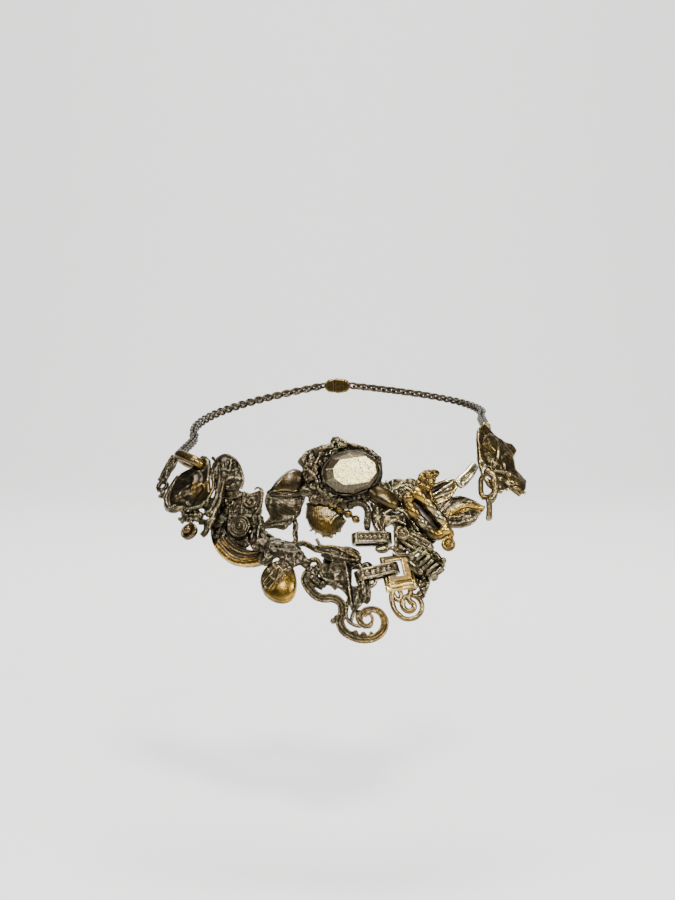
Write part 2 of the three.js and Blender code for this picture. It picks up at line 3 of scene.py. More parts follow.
import bmesh
import bpy
import numpy as np
from mathutils import Matrix, Vector


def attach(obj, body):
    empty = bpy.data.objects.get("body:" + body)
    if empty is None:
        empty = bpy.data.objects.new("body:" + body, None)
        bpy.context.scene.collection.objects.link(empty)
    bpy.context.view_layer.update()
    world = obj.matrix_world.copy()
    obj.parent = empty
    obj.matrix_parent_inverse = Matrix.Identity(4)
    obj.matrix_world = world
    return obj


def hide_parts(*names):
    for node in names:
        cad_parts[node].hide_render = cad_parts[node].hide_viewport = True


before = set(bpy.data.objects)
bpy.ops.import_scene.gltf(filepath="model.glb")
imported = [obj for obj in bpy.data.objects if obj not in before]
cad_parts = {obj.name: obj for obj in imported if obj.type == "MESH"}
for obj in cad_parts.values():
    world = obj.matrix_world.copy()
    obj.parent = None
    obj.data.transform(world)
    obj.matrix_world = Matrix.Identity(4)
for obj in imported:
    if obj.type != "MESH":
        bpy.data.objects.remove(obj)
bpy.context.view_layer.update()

MM = 0.001

# Grain of a casting's skin in mm, from the broad plates down to the engraved rings.
GRAIN = dict(plate=0.27, leaf=0.25, face=0.24, wire=0.21, pin=0.19, scroll=0.18, ring=0.17)

# How bright a casting is worn: a level skin, and the share and steepness of two kinds of relief.
WORN_LEVEL = 0.36
WORN_BROAD = dict(rounds=10, share=0.17, steep=5)
WORN_CRISP = dict(rounds=3, share=0.27, steep=12)
FAR = 99.0            # farther than any two points of a piece, mm
BATCH = 60            # border points compared with the skin at a time
MELT = 0.7            # part of the way that a point moves to its neighbours in one round of softening

# ---- Work planes and seats, as the metal pieces lie on the neck (mm and degrees) -----------

NECK = dict(half_width=57, shoulder_flare=84, shoulder_height=12, shoulder_spread=9,
            half_depth=57, chest_flare=40, chest_height=-20, chest_spread=18, roundness=2.2)

PANELS = {
    "left_end": dict(x=-57, z=14, turn=-33, lean=36),
    "left_middle": dict(x=-38, z=8, turn=-14, lean=24),
    "centre_top": dict(x=0, z=16, turn=0, lean=15),
    "centre_low": dict(x=-4, z=-16, turn=-1, lean=28),
    "right_middle": dict(x=28, z=0, turn=7, lean=23),
    "right_end": dict(x=50, z=13, turn=19, lean=30),
    "shoulder": dict(x=63.8, z=28, turn=42, lean=32, forward=16.5),
    "nape": dict(x=0, y=65, z=54, turn=180, lean=0),
}

# piece: panel, x, y, lift, and roll and twist where it has them
SEATS = {
    "petal_plate": ("left_end", 1.6, 3.9, 3.2),
    "twisted_loop": ("left_end", -13.1, 8.2, 3.4),
    "left_ring": ("left_end", -4.4, 14.2, 4.1, -17),
    "pebble_cluster": ("left_end", 4.5, -10.1, 2.6),
    "ball_button": ("left_end", 7.4, -16.2, 1),
    "engraved_leaf": ("left_middle", -5.4, 16.2, 2.8),
    "filigree_panel": ("left_middle", 1, 4.6, 0.6),
    "ringed_button": ("left_middle", 2.2, -6.1, 3.6),
    "crescent": ("left_middle", 6, -5, 0.6),
    "shell_leaf": ("centre_top", -21.4, -1.7, 0.6),
    "stone": ("centre_top", 5.2, 7.7, 5.2, 8),
    "stone_setting": ("centre_top", 1.9, 8.9, 2.8),
    "shield": ("centre_top", -4.2, -9, 0.6),
    "bead_row": ("centre_top", 3.2, -7.9, 3.8),
    "ribbed_arc": ("centre_top", 7.8, -7.8, 6),
    "smooth_link": ("centre_top", 18, -3.1, 3.3, -28),
    "twig": ("centre_low", -22.4, 17.4, 1.6),
    "knot": ("centre_low", -16.6, 9.2, 4),
    "scored_drop": ("centre_low", -18.4, -0.8, 0.6),
    "branch": ("centre_low", -6.8, 16.2, 2),
    "ridge_leaf": ("centre_low", 5, 10.2, 4.7, -12),
    "flower": ("centre_low", 7.6, -1.8, 2.7),
    "stem": ("centre_low", 9.8, -14.8, 1.6),
    "great_scroll": ("centre_low", 6.6, -10.2, 1.8),
    "inner_scroll": ("centre_low", -1.2, -0.3, 3.8),
    "bark_plate": ("right_middle", -2.4, 6.5, 3.4),
    "long_link": ("right_middle", 5.6, 6.8, 7, -53),
    "snail_boss": ("right_middle", 13.2, -5.3, 7.2),
    "scroll_pin": ("right_middle", 0.2, -2.7, 7.2),
    "coil": ("right_middle", 5.5, -12.2, 5.2, 36),
    "bark_tip": ("right_middle", 3.4, -15.6, 0.6),
    "buckle": ("right_middle", -6, -14.9, 2.5, 8),
    "hoop_scroll": ("right_middle", -2.8, -27, 2.6),
    "upper_strap": ("right_middle", -15.6, -1.6, 4.2),
    "lower_strap": ("right_middle", -14.2, -14.8, 3.6, 12),
    "gold_bud": ("right_middle", 6.8, 21.2, 3.4),
    "upper_leaf": ("right_middle", 12.4, 17.5, 0.6, 32),
    "lower_leaf": ("right_end", -4, -5, 0.6),
    "bright_bar": ("right_end", 0.3, 8.4, 4.8, 38),
    "shoulder_ring": ("right_end", 8.8, 4.8, 4, 80, 75),
    "shoulder_leaf": ("shoulder", 0, 0, -0.8),
    "clasp": ("nape", 0, 0, 0),
}


def neck_front(x, z):
    """How far forward the collar's inner surface lies, at a place across and up the neck."""
    def flare(height, spread):
        return 1 / (1 + math.exp((z - height) / spread))
    half_width = NECK["half_width"] + NECK["shoulder_flare"] * flare(
        NECK["shoulder_height"], NECK["shoulder_spread"])
    half_depth = NECK["half_depth"] + NECK["chest_flare"] * flare(
        NECK["chest_height"], NECK["chest_spread"])
    across = abs(x) / half_width
    return -half_depth * (1 - across ** NECK["roundness"]) ** (1 / NECK["roundness"])


def turned_by(degrees, axis):
    return Matrix.Rotation(math.radians(degrees), 4, axis)


def seat_matrix(panel, x, y, lift, roll=0, twist=0):
    """From a piece's own millimetres to its place in the scene, in metres."""
    p = PANELS[panel]
    front = p.get("y", neck_front(p["x"], p["z"]) - p.get("forward", 0))
    plane = Matrix.Translation((p["x"], front, p["z"]))
    plane = plane @ turned_by(p["turn"], "Z") @ turned_by(90 - p["lean"], "X")
    seat = Matrix.Translation((x, y, lift)) @ turned_by(roll, "Z") @ turned_by(twist, "X")
    return Matrix.Scale(MM, 4) @ plane @ seat


# ---- Fields: heights over a piece's face, in its own millimetres ---------------------------

LATTICE = np.random.default_rng(11).uniform(-1, 1, (32, 32, 32))


def lumps(p, size, shift=0.0):
    """Smooth noise from -1 to 1 with lumps of the given size."""
    q = np.asarray(p) / size + 17.3 + shift
    whole = np.floor(q).astype(int)
    part = q - whole
    part = part * part * (3 - 2 * part)
    total = np.zeros(len(q))
    for corner in range(8):
        step = np.array([corner & 1, corner >> 1 & 1, corner >> 2])
        weight = np.prod(np.where(step, part, 1 - part), axis=1)
        i = (whole + step) % 32
        total += weight * LATTICE[i[:, 0], i[:, 1], i[:, 2]]
    return total


def crumple(p, size, octaves=3, shift=0.0):
    """Creased foil: sharp ridges between hollows, from 0 to about 1."""
    total = np.zeros(len(p))
    for k in range(octaves):
        total += (1 - np.abs(lumps(p, size / 2 ** k, shift + 5.1 * k))) ** 2 / 2 ** k
    return total / 1.8


def ease(value, low, high):
    """0 up to low, 1 from high, and a soft step between; high may be the lower one."""
    t = np.clip((value - low) / (high - low), 0, 1)
    return t * t * (3 - 2 * t)


class Casting:
    """One cast piece: its CAD solid, dressed with more metal, then given a skin and a relief."""

    def __init__(self, name):
        self.name = name
        self.seat = seat_matrix(*SEATS[name])
        self.bm = bmesh.new()
        self.bm.from_mesh(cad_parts[name].data)
        bmesh.ops.remove_doubles(self.bm, verts=self.bm.verts, dist=1e-6)
        self.bm.transform(self.seat.inverted())
        self.bm.normal_update()
        self.border = self.wall_points()
        # extra wear for the whole piece, and on some pieces painted highlights and painted shade
        self.gold = 0.0
        self.worn = 0.0

    def wall_points(self, step=0.5):
        """Points along the CAD solid's side walls, seen from its face."""
        points = []
        for face in self.bm.faces:
            if abs(face.normal.z) > 0.3:
                continue
            for edge in face.edges:
                a, b = (v.co.xy for v in edge.verts)
                count = int((b - a).length / step) + 1
                points += [a.lerp(b, i / count) for i in range(count)]
        return np.array(points) if points else np.zeros((1, 2))

    # more metal, in the piece's own millimetres
    def ball(self, x, y, z, r, flat=1.0, detail=2):
        place = Matrix.Translation((x, y, z)) @ Matrix.Diagonal((1, 1, flat, 1))
        bmesh.ops.create_icosphere(self.bm, subdivisions=detail, radius=r, matrix=place)

    def balls(self, z, spots, detail=2):
        """Grains at one height: rows of x, y and radius."""
        for x, y, r in spots:
            self.ball(x, y, z, r, detail=detail)

    def pad(self, x, y, z, rx, ry, rz, turn=0):
        """A flat pebble of metal that fills out a casting."""
        place = Matrix.Translation((x, y, z)) @ turned_by(turn, "Z") @ Matrix.Diagonal((rx, ry, rz, 1))
        bmesh.ops.create_icosphere(self.bm, subdivisions=2, radius=1, matrix=place)

    def pads(self, z, height, spots):
        """Pebbles at one height: rows of x, y, half-length, half-width and perhaps a turn."""
        for x, y, rx, ry, *turn in spots:
            self.pad(x, y, z, rx, ry, height, *turn)

    def rod(self, points, radius, end=None, sides=8, smooth=4):
        """A round rod through the points, tapering from radius to end."""
        path = spline([Vector(p if len(p) == 3 else (*p, 0)) for p in points], smooth)
        end = radius if end is None else end
        count = len(path)
        ring = None
        previous = None
        for i, point in enumerate(path):
            ahead = (path[min(i + 1, count - 1)] - path[max(i - 1, 0)]).normalized()
            width = radius + (end - radius) * i / (count - 1)
            turn = ahead.to_track_quat("Z", "Y").to_matrix().to_4x4()
            place = Matrix.Translation(point) @ turn @ Matrix.Scale(width, 4)
            if ring is None:
                made = bmesh.ops.create_circle(self.bm, cap_ends=True, segments=sides, radius=1, matrix=place)
                ring = list({f for v in made["verts"] for f in v.link_faces})
            else:
                grown = bmesh.ops.extrude_face_region(self.bm, geom=ring)["geom"]
                verts = [g for g in grown if isinstance(g, bmesh.types.BMVert)]
                ring = [g for g in grown if isinstance(g, bmesh.types.BMFace)]
                bmesh.ops.transform(self.bm, matrix=place @ previous.inverted(), verts=verts)
            previous = place

    def hoop(self, x, y, z, r, wire, tilt=0, long=1.0):
        """A closed ring of wire lying on the face."""
        before = set(self.bm.verts)
        start = bmesh.ops.create_circle(self.bm, segments=8, radius=wire, matrix=(
            Matrix.Translation((r, 0, 0)) @ turned_by(90, "X")))["verts"]
        edges = list({e for v in start for e in v.link_edges})
        bmesh.ops.spin(self.bm, geom=start + edges, cent=(0, 0, 0), axis=(0, 0, 1), dvec=(0, 0, 0),
                       angle=math.tau, steps=24, use_merge=True)
        place = Matrix.Translation((x, y, z)) @ turned_by(tilt, "Z") @ Matrix.Diagonal((long, 1, 1, 1))
        bmesh.ops.transform(self.bm, matrix=place, verts=[v for v in self.bm.verts if v not in before])

    def skin(self, grain="plate"):
        """Fuses all the metal under one fine skin and reads it into arrays."""
        bmesh.ops.recalc_face_normals(self.bm, faces=self.bm.faces)
        mesh = bpy.data.meshes.new(self.name)
        self.bm.to_mesh(mesh)
        self.bm.free()
        rough = bpy.data.objects.new("rough_casting", mesh)
        bpy.context.scene.collection.objects.link(rough)
        remesh = rough.modifiers.new("skin", "REMESH")
        remesh.mode = "VOXEL"
        remesh.voxel_size = GRAIN[grain]
        ready = rough.evaluated_get(bpy.context.evaluated_depsgraph_get())
        self.mesh = bpy.data.meshes.new_from_object(ready)
        bpy.data.objects.remove(rough)
        count = len(self.mesh.vertices)
        self.co = np.empty(count * 3)
        self.mesh.vertices.foreach_get("co", self.co)
        self.co = self.co.reshape(-1, 3)
        self.edges = np.empty(len(self.mesh.edges) * 2, int)
        self.mesh.edges.foreach_get("vertices", self.edges)
        self.edges = self.edges.reshape(-1, 2)
        self.degree = np.bincount(self.edges.ravel(), minlength=count).clip(1)
        self.soften(2, melt=0.5)
        self.front = ease(self.normals()[:, 2], 0.1, 0.7)
        self.x, self.y, self.z = self.co.T.copy()
        near = np.full(count, FAR)
        for part in np.array_split(self.border, max(1, len(self.border) // BATCH)):
            gap = np.hypot(self.x[:, None] - part[:, 0], self.y[:, None] - part[:, 1])
            near = np.minimum(near, gap.min(1))
        self.rim = near
        self.gold = np.full(count, self.gold)
        return self

    def neighbours(self, values):
        """The mean of each point's neighbours."""
        a, b = self.edges.T
        count = len(values)
        return np.stack([
            (np.bincount(a, values[b, k], count) + np.bincount(b, values[a, k], count)) / self.degree
            for k in range(values.shape[1])], 1)

    def soften(self, rounds, where=1.0, melt=MELT):
        """Melts fine relief away, fully where the weight is 1."""
        for _ in range(rounds):
            self.co += (self.neighbours(self.co) - self.co) * melt * np.reshape(where, (-1, 1))

    def normals(self):
        self.mesh.vertices.foreach_set("co", self.co.ravel())
        self.mesh.update()
        n = np.empty(len(self.co) * 3)
        self.mesh.vertex_normals.foreach_get("vector", n)
        return n.reshape(-1, 3)

    # the relief
    def lift(self, height):
        """Raises the face, and leaves the back flat."""
        self.co[:, 2] += height * self.front

    def push(self, height):
        """Swells the skin outwards on every side."""
        self.co += self.normals() * np.asarray(height)[:, None]

    def dome(self, x, y, rx, ry=None, turn=0):
        """1 at the middle of an ellipse, 0 at its edge and beyond."""
        ry = rx if ry is None else ry
        c, s = math.cos(math.radians(turn)), math.sin(math.radians(turn))
        u = ((self.x - x) * c + (self.y - y) * s) / rx
        v = (-(self.x - x) * s + (self.y - y) * c) / ry
        return np.clip(1 - u * u - v * v, 0, 1) ** 0.75

    def ring(self, x, y, r, width):
        """1 along a circle, falling off over the width."""
        return np.exp(-((np.hypot(self.x - x, self.y - y) - r) / width) ** 2)

    def line(self, points, width, smooth=4):
        """1 along a smooth line over the face, falling off over the width."""
        path = spline([Vector((*p[:2], 0)) for p in points], smooth)
        best = np.full(len(self.x), FAR)
        for a, b in zip(path, path[1:]):
            d = b - a
            t = np.clip(((self.x - a.x) * d.x + (self.y - a.y) * d.y) / max(d.length_squared, 1e-9), 0, 1)
            best = np.minimum(best, np.hypot(self.x - a.x - d.x * t, self.y - a.y - d.y * t))
        return np.exp(-(best / width) ** 2)

    def folds(self, turn, pitch, waver=0.6, shift=0.0):
        """Long soft folds across the face, from -1 to 1."""
        c, s = math.cos(math.radians(turn)), math.sin(math.radians(turn))
        bend = lumps(np.stack([self.x, self.y, self.z * 0], 1), pitch * 3, shift) * waver * pitch
        return np.sin((self.x * c + self.y * s + bend) / pitch * math.tau)

    def fan(self, x, y, count, from_deg=0.0):
        """Folds that spread from a point like a fan, from -1 to 1."""
        angle = np.arctan2(self.y - y, self.x - x) - math.radians(from_deg)
        return np.cos(angle * count)

    def cast_skin(self, rough, size):
        """The uneven skin of a casting: lumps of the size with smaller ones on them."""
        self.push(rough * (lumps(self.co, size) + 0.6 * lumps(self.co, size / 2.2, 3)))

    def worn_by(self, rounds, share, steep):
        """More where a point stands proud of the skin softened that many times, less in a hollow."""
        soft = self.co.copy()
        for _ in range(rounds):
            soft += (self.neighbours(soft) - soft) * MELT
        return share * np.tanh(((self.co - soft) * self.normals()).sum(1) * steep)

    def finish(self, slot, keep=1.0):
        """Wears the high places bright, adds the piece's extra wear and painted light, lays the piece in its
        seat and hands it over.
        """
        wear_and_painted_light = np.clip(WORN_LEVEL + self.worn + self.worn_by(**WORN_BROAD) + self.worn_by(**WORN_CRISP), 0, 1)
        gold = np.clip(self.gold + np.zeros(len(wear_and_painted_light)), -1, 1)
        for key, value in (("wear_and_painted_light", wear_and_painted_light), ("gold", gold)):
            store = self.mesh.attributes.new(key, "FLOAT", "POINT")
            store.data.foreach_set("value", value.astype(np.float32))
        self.mesh.vertices.foreach_set("co", self.co.ravel())
        self.mesh.transform(self.seat)
        self.mesh.update()
        self.mesh.materials.clear()
        self.mesh.materials.append(METAL[slot])
        self.mesh.shade_smooth()
        piece = bpy.data.objects.new("cast_" + self.name, self.mesh)
        bpy.context.scene.collection.objects.link(piece)
        if keep < 1:
            thin = piece.modifiers.new("thin", "DECIMATE")
            thin.ratio = keep
        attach(piece, "root")
        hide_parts(self.name)
        return piece


def cast(slot, keep=1.0):
    """Makes the casting of the name of the function below it, which dresses it."""
    def make(dress):
        c = Casting(dress.__name__)
        dress(c)
        c.finish(slot, keep)
        return dress
    return make


bronze = cast("dark_bronze")
brass = cast("worn_brass")


def spline(points, smooth):
    """A smooth open line through the points, with that many steps to a span."""
    if smooth <= 1 or len(points) < 3:
        return points
    ends = [points[0] * 2 - points[1]] + points + [points[-1] * 2 - points[-2]]
    path = []
    for a, b, c, d in zip(ends, ends[1:], ends[2:], ends[3:]):
        for i in range(smooth):
            t = i / smooth
            path.append(0.5 * (2 * b + (c - a) * t + (2 * a - 5 * b + 4 * c - d) * t * t
                               + (3 * b - a - 3 * c + d) * t ** 3))
    return path + [points[-1]]


def curl(x, y, start, end, from_deg, turns, z=0.0, points=16):
    """Points of a flat spiral."""
    out = []
    for i in range(points):
        t = i / (points - 1)
        angle = math.radians(from_deg + turns * 360 * t)
        r = start + (end - start) * t
        out.append((x + r * math.cos(angle), y + r * math.sin(angle), z))
    return out


# ---- Finishes ------------------------------------------------------------------------------

class Graph:
    """One material and the nodes that feed its shader."""

    def __init__(self, name):
        self.material = bpy.data.materials.new(name)
        self.material.use_nodes = True
        self.tree = self.material.node_tree
        self.shader = self.tree.nodes["Principled BSDF"]

    def node(self, kind, **settings):
        made = self.tree.nodes.new(kind)
        for key, value in settings.items():
            setattr(made, key, value)
        return made

    def link(self, source, target):
        self.tree.links.new(source, target)

    def math(self, operation, a, b=None, clamp=False):
        made = self.node("ShaderNodeMath", operation=operation, use_clamp=clamp)
        for socket, value in zip(made.inputs, (a, b)):
            if value is None:
                continue
            if isinstance(value, (int, float)):
                socket.default_value = value
            else:
                self.link(value, socket)
        return made.outputs[0]

    def add(self, a, b, clamp=False):
        return self.math("ADD", a, b, clamp)

    def sway(self, value, share):
        """A noise from 0 to 1 as a change of up to half the share either way."""
        return self.math("MULTIPLY", self.math("SUBTRACT", value, 0.5), share)

    def falling(self, start, drop, value):
        """From start down by drop as the value goes from 0 to 1."""
        return self.math("SUBTRACT", start, self.math("MULTIPLY", value, drop))

    def settings(self, **values):
        """Constants on the shader's own sockets, with _ for a space in a socket's name."""
        for key, value in values.items():
            self.shader.inputs[key.replace("_", " ")].default_value = value

    def attribute(self, name):
        return self.node("ShaderNodeAttribute", attribute_name=name).outputs["Fac"]

    def noise(self, scale, detail=3, roughness=0.6):
        made = self.node("ShaderNodeTexNoise")
        made.inputs["Scale"].default_value = scale
        made.inputs["Detail"].default_value = detail
        made.inputs["Roughness"].default_value = roughness
        self.link(self.node("ShaderNodeTexCoord").outputs["Object"], made.inputs["Vector"])
        return made.outputs["Fac"]

    def ramp(self, value, stops):
        made = self.node("ShaderNodeValToRGB")
        band = made.color_ramp
        while len(band.elements) < len(stops):
            band.elements.new(0.5)
        for element, (at, colour) in zip(band.elements, stops):
            element.position = at
            element.color = (*colour, 1) if not isinstance(colour, float) else (colour, colour, colour, 1)
        self.link(value, made.inputs[0])
        return made.outputs["Color"]

    def mix(self, factor, a, b, blend="MIX"):
        made = self.node("ShaderNodeMix", data_type="RGBA", blend_type=blend)
        for socket, value in ((made.inputs[0], factor), (made.inputs[6], a), (made.inputs[7], b)):
            if isinstance(value, (int, float, tuple)):
                socket.default_value = value
            else:
                self.link(value, socket)
        return made.outputs[2]


BRONZE_STOPS = (
    (0.0, (0.006, 0.004, 0.002)), (0.34, (0.024, 0.0175, 0.009)), (0.54, (0.066, 0.050, 0.027)),
    (0.74, (0.20, 0.160, 0.094)), (1.0, (0.80, 0.71, 0.52)))
GOLD_STOPS = (
    (0.0, (0.010, 0.006, 0.001)), (0.32, (0.046, 0.026, 0.004)), (0.54, (0.155, 0.090, 0.012)),
    (0.76, (0.52, 0.32, 0.045)), (1.0, (1.0, 0.76, 0.24)))


def cast_metal(name, gold):
    """Antique casting: patina in the hollows, olive skin, bright ridges, painted highlights and shade where a
    piece carries them, and gilt where told.
    """
    g = Graph(name)
    grain = g.noise(1500, 5, 0.7)
    value = g.add(g.attribute("wear_and_painted_light"), g.sway(g.noise(150, 4), 0.50))
    value = g.add(value, g.sway(grain, 0.32), clamp=True)
    bronze = g.ramp(value, BRONZE_STOPS)
    olive = g.ramp(g.noise(90, 3), ((0.40, (1.0, 0.96, 0.88)), (0.62, (0.88, 0.95, 0.84))))
    gilt = g.add(g.add(g.attribute("gold"), gold), g.sway(g.noise(260, 3), 0.9), clamp=True)
    skin = g.mix(gilt, g.mix(1, bronze, olive, "MULTIPLY"), g.ramp(value, GOLD_STOPS))
    g.link(skin, g.shader.inputs["Base Color"])
    rough = g.add(g.falling(0.37, 0.20, value), g.sway(grain, 0.25), clamp=True)
    g.link(rough, g.shader.inputs["Roughness"])
    g.settings(Metallic=0.96, Coat_Weight=0.15, Coat_Roughness=0.22)
    bump = g.node("ShaderNodeBump")
    bump.inputs["Strength"].default_value = 0.5
    bump.inputs["Distance"].default_value = 0.11 * MM
    g.link(g.add(grain, g.math("MULTIPLY", g.noise(5200, 3), 0.4)), bump.inputs["Height"])
    g.link(bump.outputs[0], g.shader.inputs["Normal"])
    return g.material


def gilt_stone(name):
    """A foiled stone: a pale gold table with dark specks, its pale colour partly the gilt foil and partly a
    painted reflection; brown and grey facets round it.
    """
    g = Graph(name)
    specks = g.ramp(g.noise(1700, 2, 0.7), ((0.42, 0.0), (0.45, 1.0)))
    # painted reflection: the table's pale cream colour stands partly for the bright reflection off its flat
    # top
    gilt_and_reflection_cloud = g.ramp(g.noise(600, 4), ((0.38, (0.84, 0.66, 0.20)), (0.58, (0.98, 0.87, 0.46))))
    flecks = g.ramp(g.noise(1900, 3), ((0.42, 0.0), (0.6, 1.0)))
    facet = g.ramp(g.attribute("tone"), (
        (0.0, (0.03, 0.022, 0.009)), (0.5, (0.09, 0.070, 0.034)), (1.0, (0.17, 0.145, 0.09))))
    table = g.attribute("table")
    side_colour = g.mix(flecks, (0.04, 0.03, 0.015, 1), facet)
    # the table's colour: gilt foil with a painted reflection, and dark specks
    table_gilt_and_reflection = g.mix(specks, (0.05, 0.04, 0.016, 1), gilt_and_reflection_cloud)
    g.link(g.mix(table, side_colour, table_gilt_and_reflection), g.shader.inputs["Base Color"])
    g.link(g.falling(0.85, 0.55, table), g.shader.inputs["Metallic"])
    g.link(g.falling(0.42, 0.22, table), g.shader.inputs["Roughness"])
    g.settings(Coat_Weight=0.25, Coat_Roughness=0.05)
    return g.material


METAL = {
    "dark_bronze": cast_metal("antique_bronze", -0.12),
    "worn_brass": cast_metal("worn_gilt_brass", 0.5),
}
STONE = gilt_stone("foiled_stone")


# ---- Left end ------------------------------------------------------------------------------

@bronze
def petal_plate(c):
    c.rod([(-8.6, 3, 1.4), (-9.6, -3, 1.7), (-9.2, -8, 1.9), (-6.4, -11.8, 2), (-3.4, -11.4, 1.7)], 0.9, 1.1)
    c.rod([(0.6, -9, 1.6), (3.4, -11.2, 2), (7.8, -10.4, 2), (9.6, -8.2, 1.6)], 1)
    c.rod([(9.6, -8, 1.2), (10.6, -2, 1.6), (8.6, 4, 1.6), (7.4, 9.6, 1.4), (4, 12.4, 1.2)], 0.8)
    c.rod([(12.2, -12, 0.2), (12.8, -3, 0.6), (10.6, 5, 0.8), (9, 9, 0.6)], 1.2, 0.8)
    c.rod([(14.2, -15, -0.4), (14.8, -6, 0), (13.4, 2, 0.2)], 1.2, 0.9)
    c.pad(12, -9, -0.4, 3.6, 5, 0.9, 10)
    c.pad(11.6, 2, -0.2, 2.6, 6, 0.8, 10)
    c.skin()
    c.lift(1.1 * c.dome(-2, -1, 7, 8, 20) - 0.8 * c.dome(2, -4.2, 5, 3.6, 30)
           - 0.7 * c.dome(-4.4, 3.4, 3.2, 2.6))
    c.lift(0.5 * c.line([(-6, -7), (-1, -4), (4, -1), (7.6, 3)], 1.3)
           + 0.4 * c.line([(-3, 5), (1, 1), (2, -4)], 1.1))
    c.lift(0.5 * crumple(c.co, 5.5, 2) * ease(c.rim, 0, 2) + 0.35 * c.ring(0, 8.45, 3, 0.7))
    c.gold = 0.75 * c.dome(6, -3, 7, 6) + 0.4 * c.dome(-7, -9, 4)
    c.push(0.05 * lumps(c.co, 1.4))


@bronze
def twisted_loop(c):
    c.rod([(0.6, 9.4, 0.4), (1.2, 5, 1.3), (-0.4, 1.6, 1.4), (0.2, -2.6, 1)], 0.8)
    c.rod([(-1.4, 8.6, 0.4), (-1.8, 4.4, 0.8), (-2.4, 0.4, 0.6), (-2.8, -3.6, 0.4)], 0.9)
    c.rod([(1.4, 9.6, 0.2), (3.8, 8.4, 0.6), (5.4, 6.2, 0.2)], 0.9, 0.7)
    for x, y in ((2.2, -9), (3.2, -10.4), (1.2, -10.8)):
        c.ball(x, y, 1, 0.9)
    c.skin("wire")
    c.cast_skin(0.16, 1.4)


@brass
def left_ring(c):
    c.skin("wire")
    c.push(0.95 + 0.1 * lumps(c.co, 4))
    c.gold = 0.1 + 0.4 * lumps(c.co, 3)
    c.worn = -0.04
    c.cast_skin(0.03, 2.4)


@bronze
def pebble_cluster(c):
    c.balls(0.7, (
        (-5.4, 4.2, 1), (-4.2, 2.6, 1), (-2.4, 3.4, 1), (0.2, 2.9, 0.9), (-3.4, -1.4, 0.8),
        (2.6, -2.4, 0.9), (2.8, 2.8, 1.2), (4.8, -1.2, 1), (5.6, 0.8, 1.4), (-1, 0.4, 0.9), (8.6, 2.4, 1.2),
        (11, 1.8, 1.3), (10.6, -1.6, 1.2), (-1.6, -2.6, 0.8)))
    c.rod([(5.6, -1.6, -0.4), (8.8, -1.6, -0.4), (10.2, -5, -0.6), (9.2, -7.4, -0.6)], 1.2)
    c.rod([(7, 2.8, 0), (11.4, 1.4, 0), (11, -4, -0.4)], 1.2)
    c.pad(2, 1, -0.4, 5, 2.6, 1)
    c.skin("wire")
    c.push(0.3 * crumple(c.co, 1.8) - 0.1)


@brass
def ball_button(c):
    c.hoop(0, 0, 2, 3, 0.55)
    c.ball(0, 0, 2.9, 1.75, 0.9, 3)
    c.skin("wire")
    c.gold -= 0.2
    c.cast_skin(0.06, 1.4)


# ---- Left middle ---------------------------------------------------------------------------

@bronze
def engraved_leaf(c):
    c.rod([
        (-5.6, 5.2, 1.4), (-2, 7.2, 1.6), (2.6, 5.2, 1.6), (5.4, 0.6, 1.6), (6.6, -3.4, 1.5),
        (6, -6.6, 1.2)], 0.6)
    c.rod([(-6, 4, 1.2), (-6.6, 0, 1.4), (-5.4, -4.6, 1.3), (-3, -8.4, 0.8)], 0.7)
    c.rod([(5.6, -2.6, 1.6), (1.6, -2.8, 1.9), (-1.6, -5.2, 1.8), (-3.4, -8.8, 1.4)], 0.75)
    c.rod([(-3.4, 5.2, 1.4), (-1.8, 3, 2), (-2.6, 0, 1.8)], 0.8, 0.5)
    c.rod([(0.8, 5.2, 1.4), (1.4, 2, 1.9), (0.6, -0.6, 1.8)], 0.6, 0.5)
    c.ball(-1.2, -1.4, 1.5, 1.3)
    c.hoop(-1.2, -1.4, 1.8, 1.9, 0.4)
    c.balls(1.4, ((2.6, -5.4, 1.1), (4.8, -4.6, 0.9), (0.4, -6.4, 0.9), (3.6, -1, 0.8), (-4.2, -2.6, 0.9)))
    c.pad(2, -8.4, 0.2, 5, 2.4, 1)
    c.skin("face")
    c.soften(9, ease(c.rim, 0.8, 1.8) * ease(c.y, -1.5, 0.5))
    c.lift(0.9 * c.dome(-0.6, 1.4, 5, 5.4) + 0.55 * ease(c.rim, 0.4, 1.6) * crumple(c.co, 3.4, 2))
    c.lift(-0.9 * c.dome(2.6, 2.6, 2.2, 1.3, 60) - 0.7 * c.dome(-3.4, 1, 1.3, 2, 0))
    c.cast_skin(0.09, 1.2)


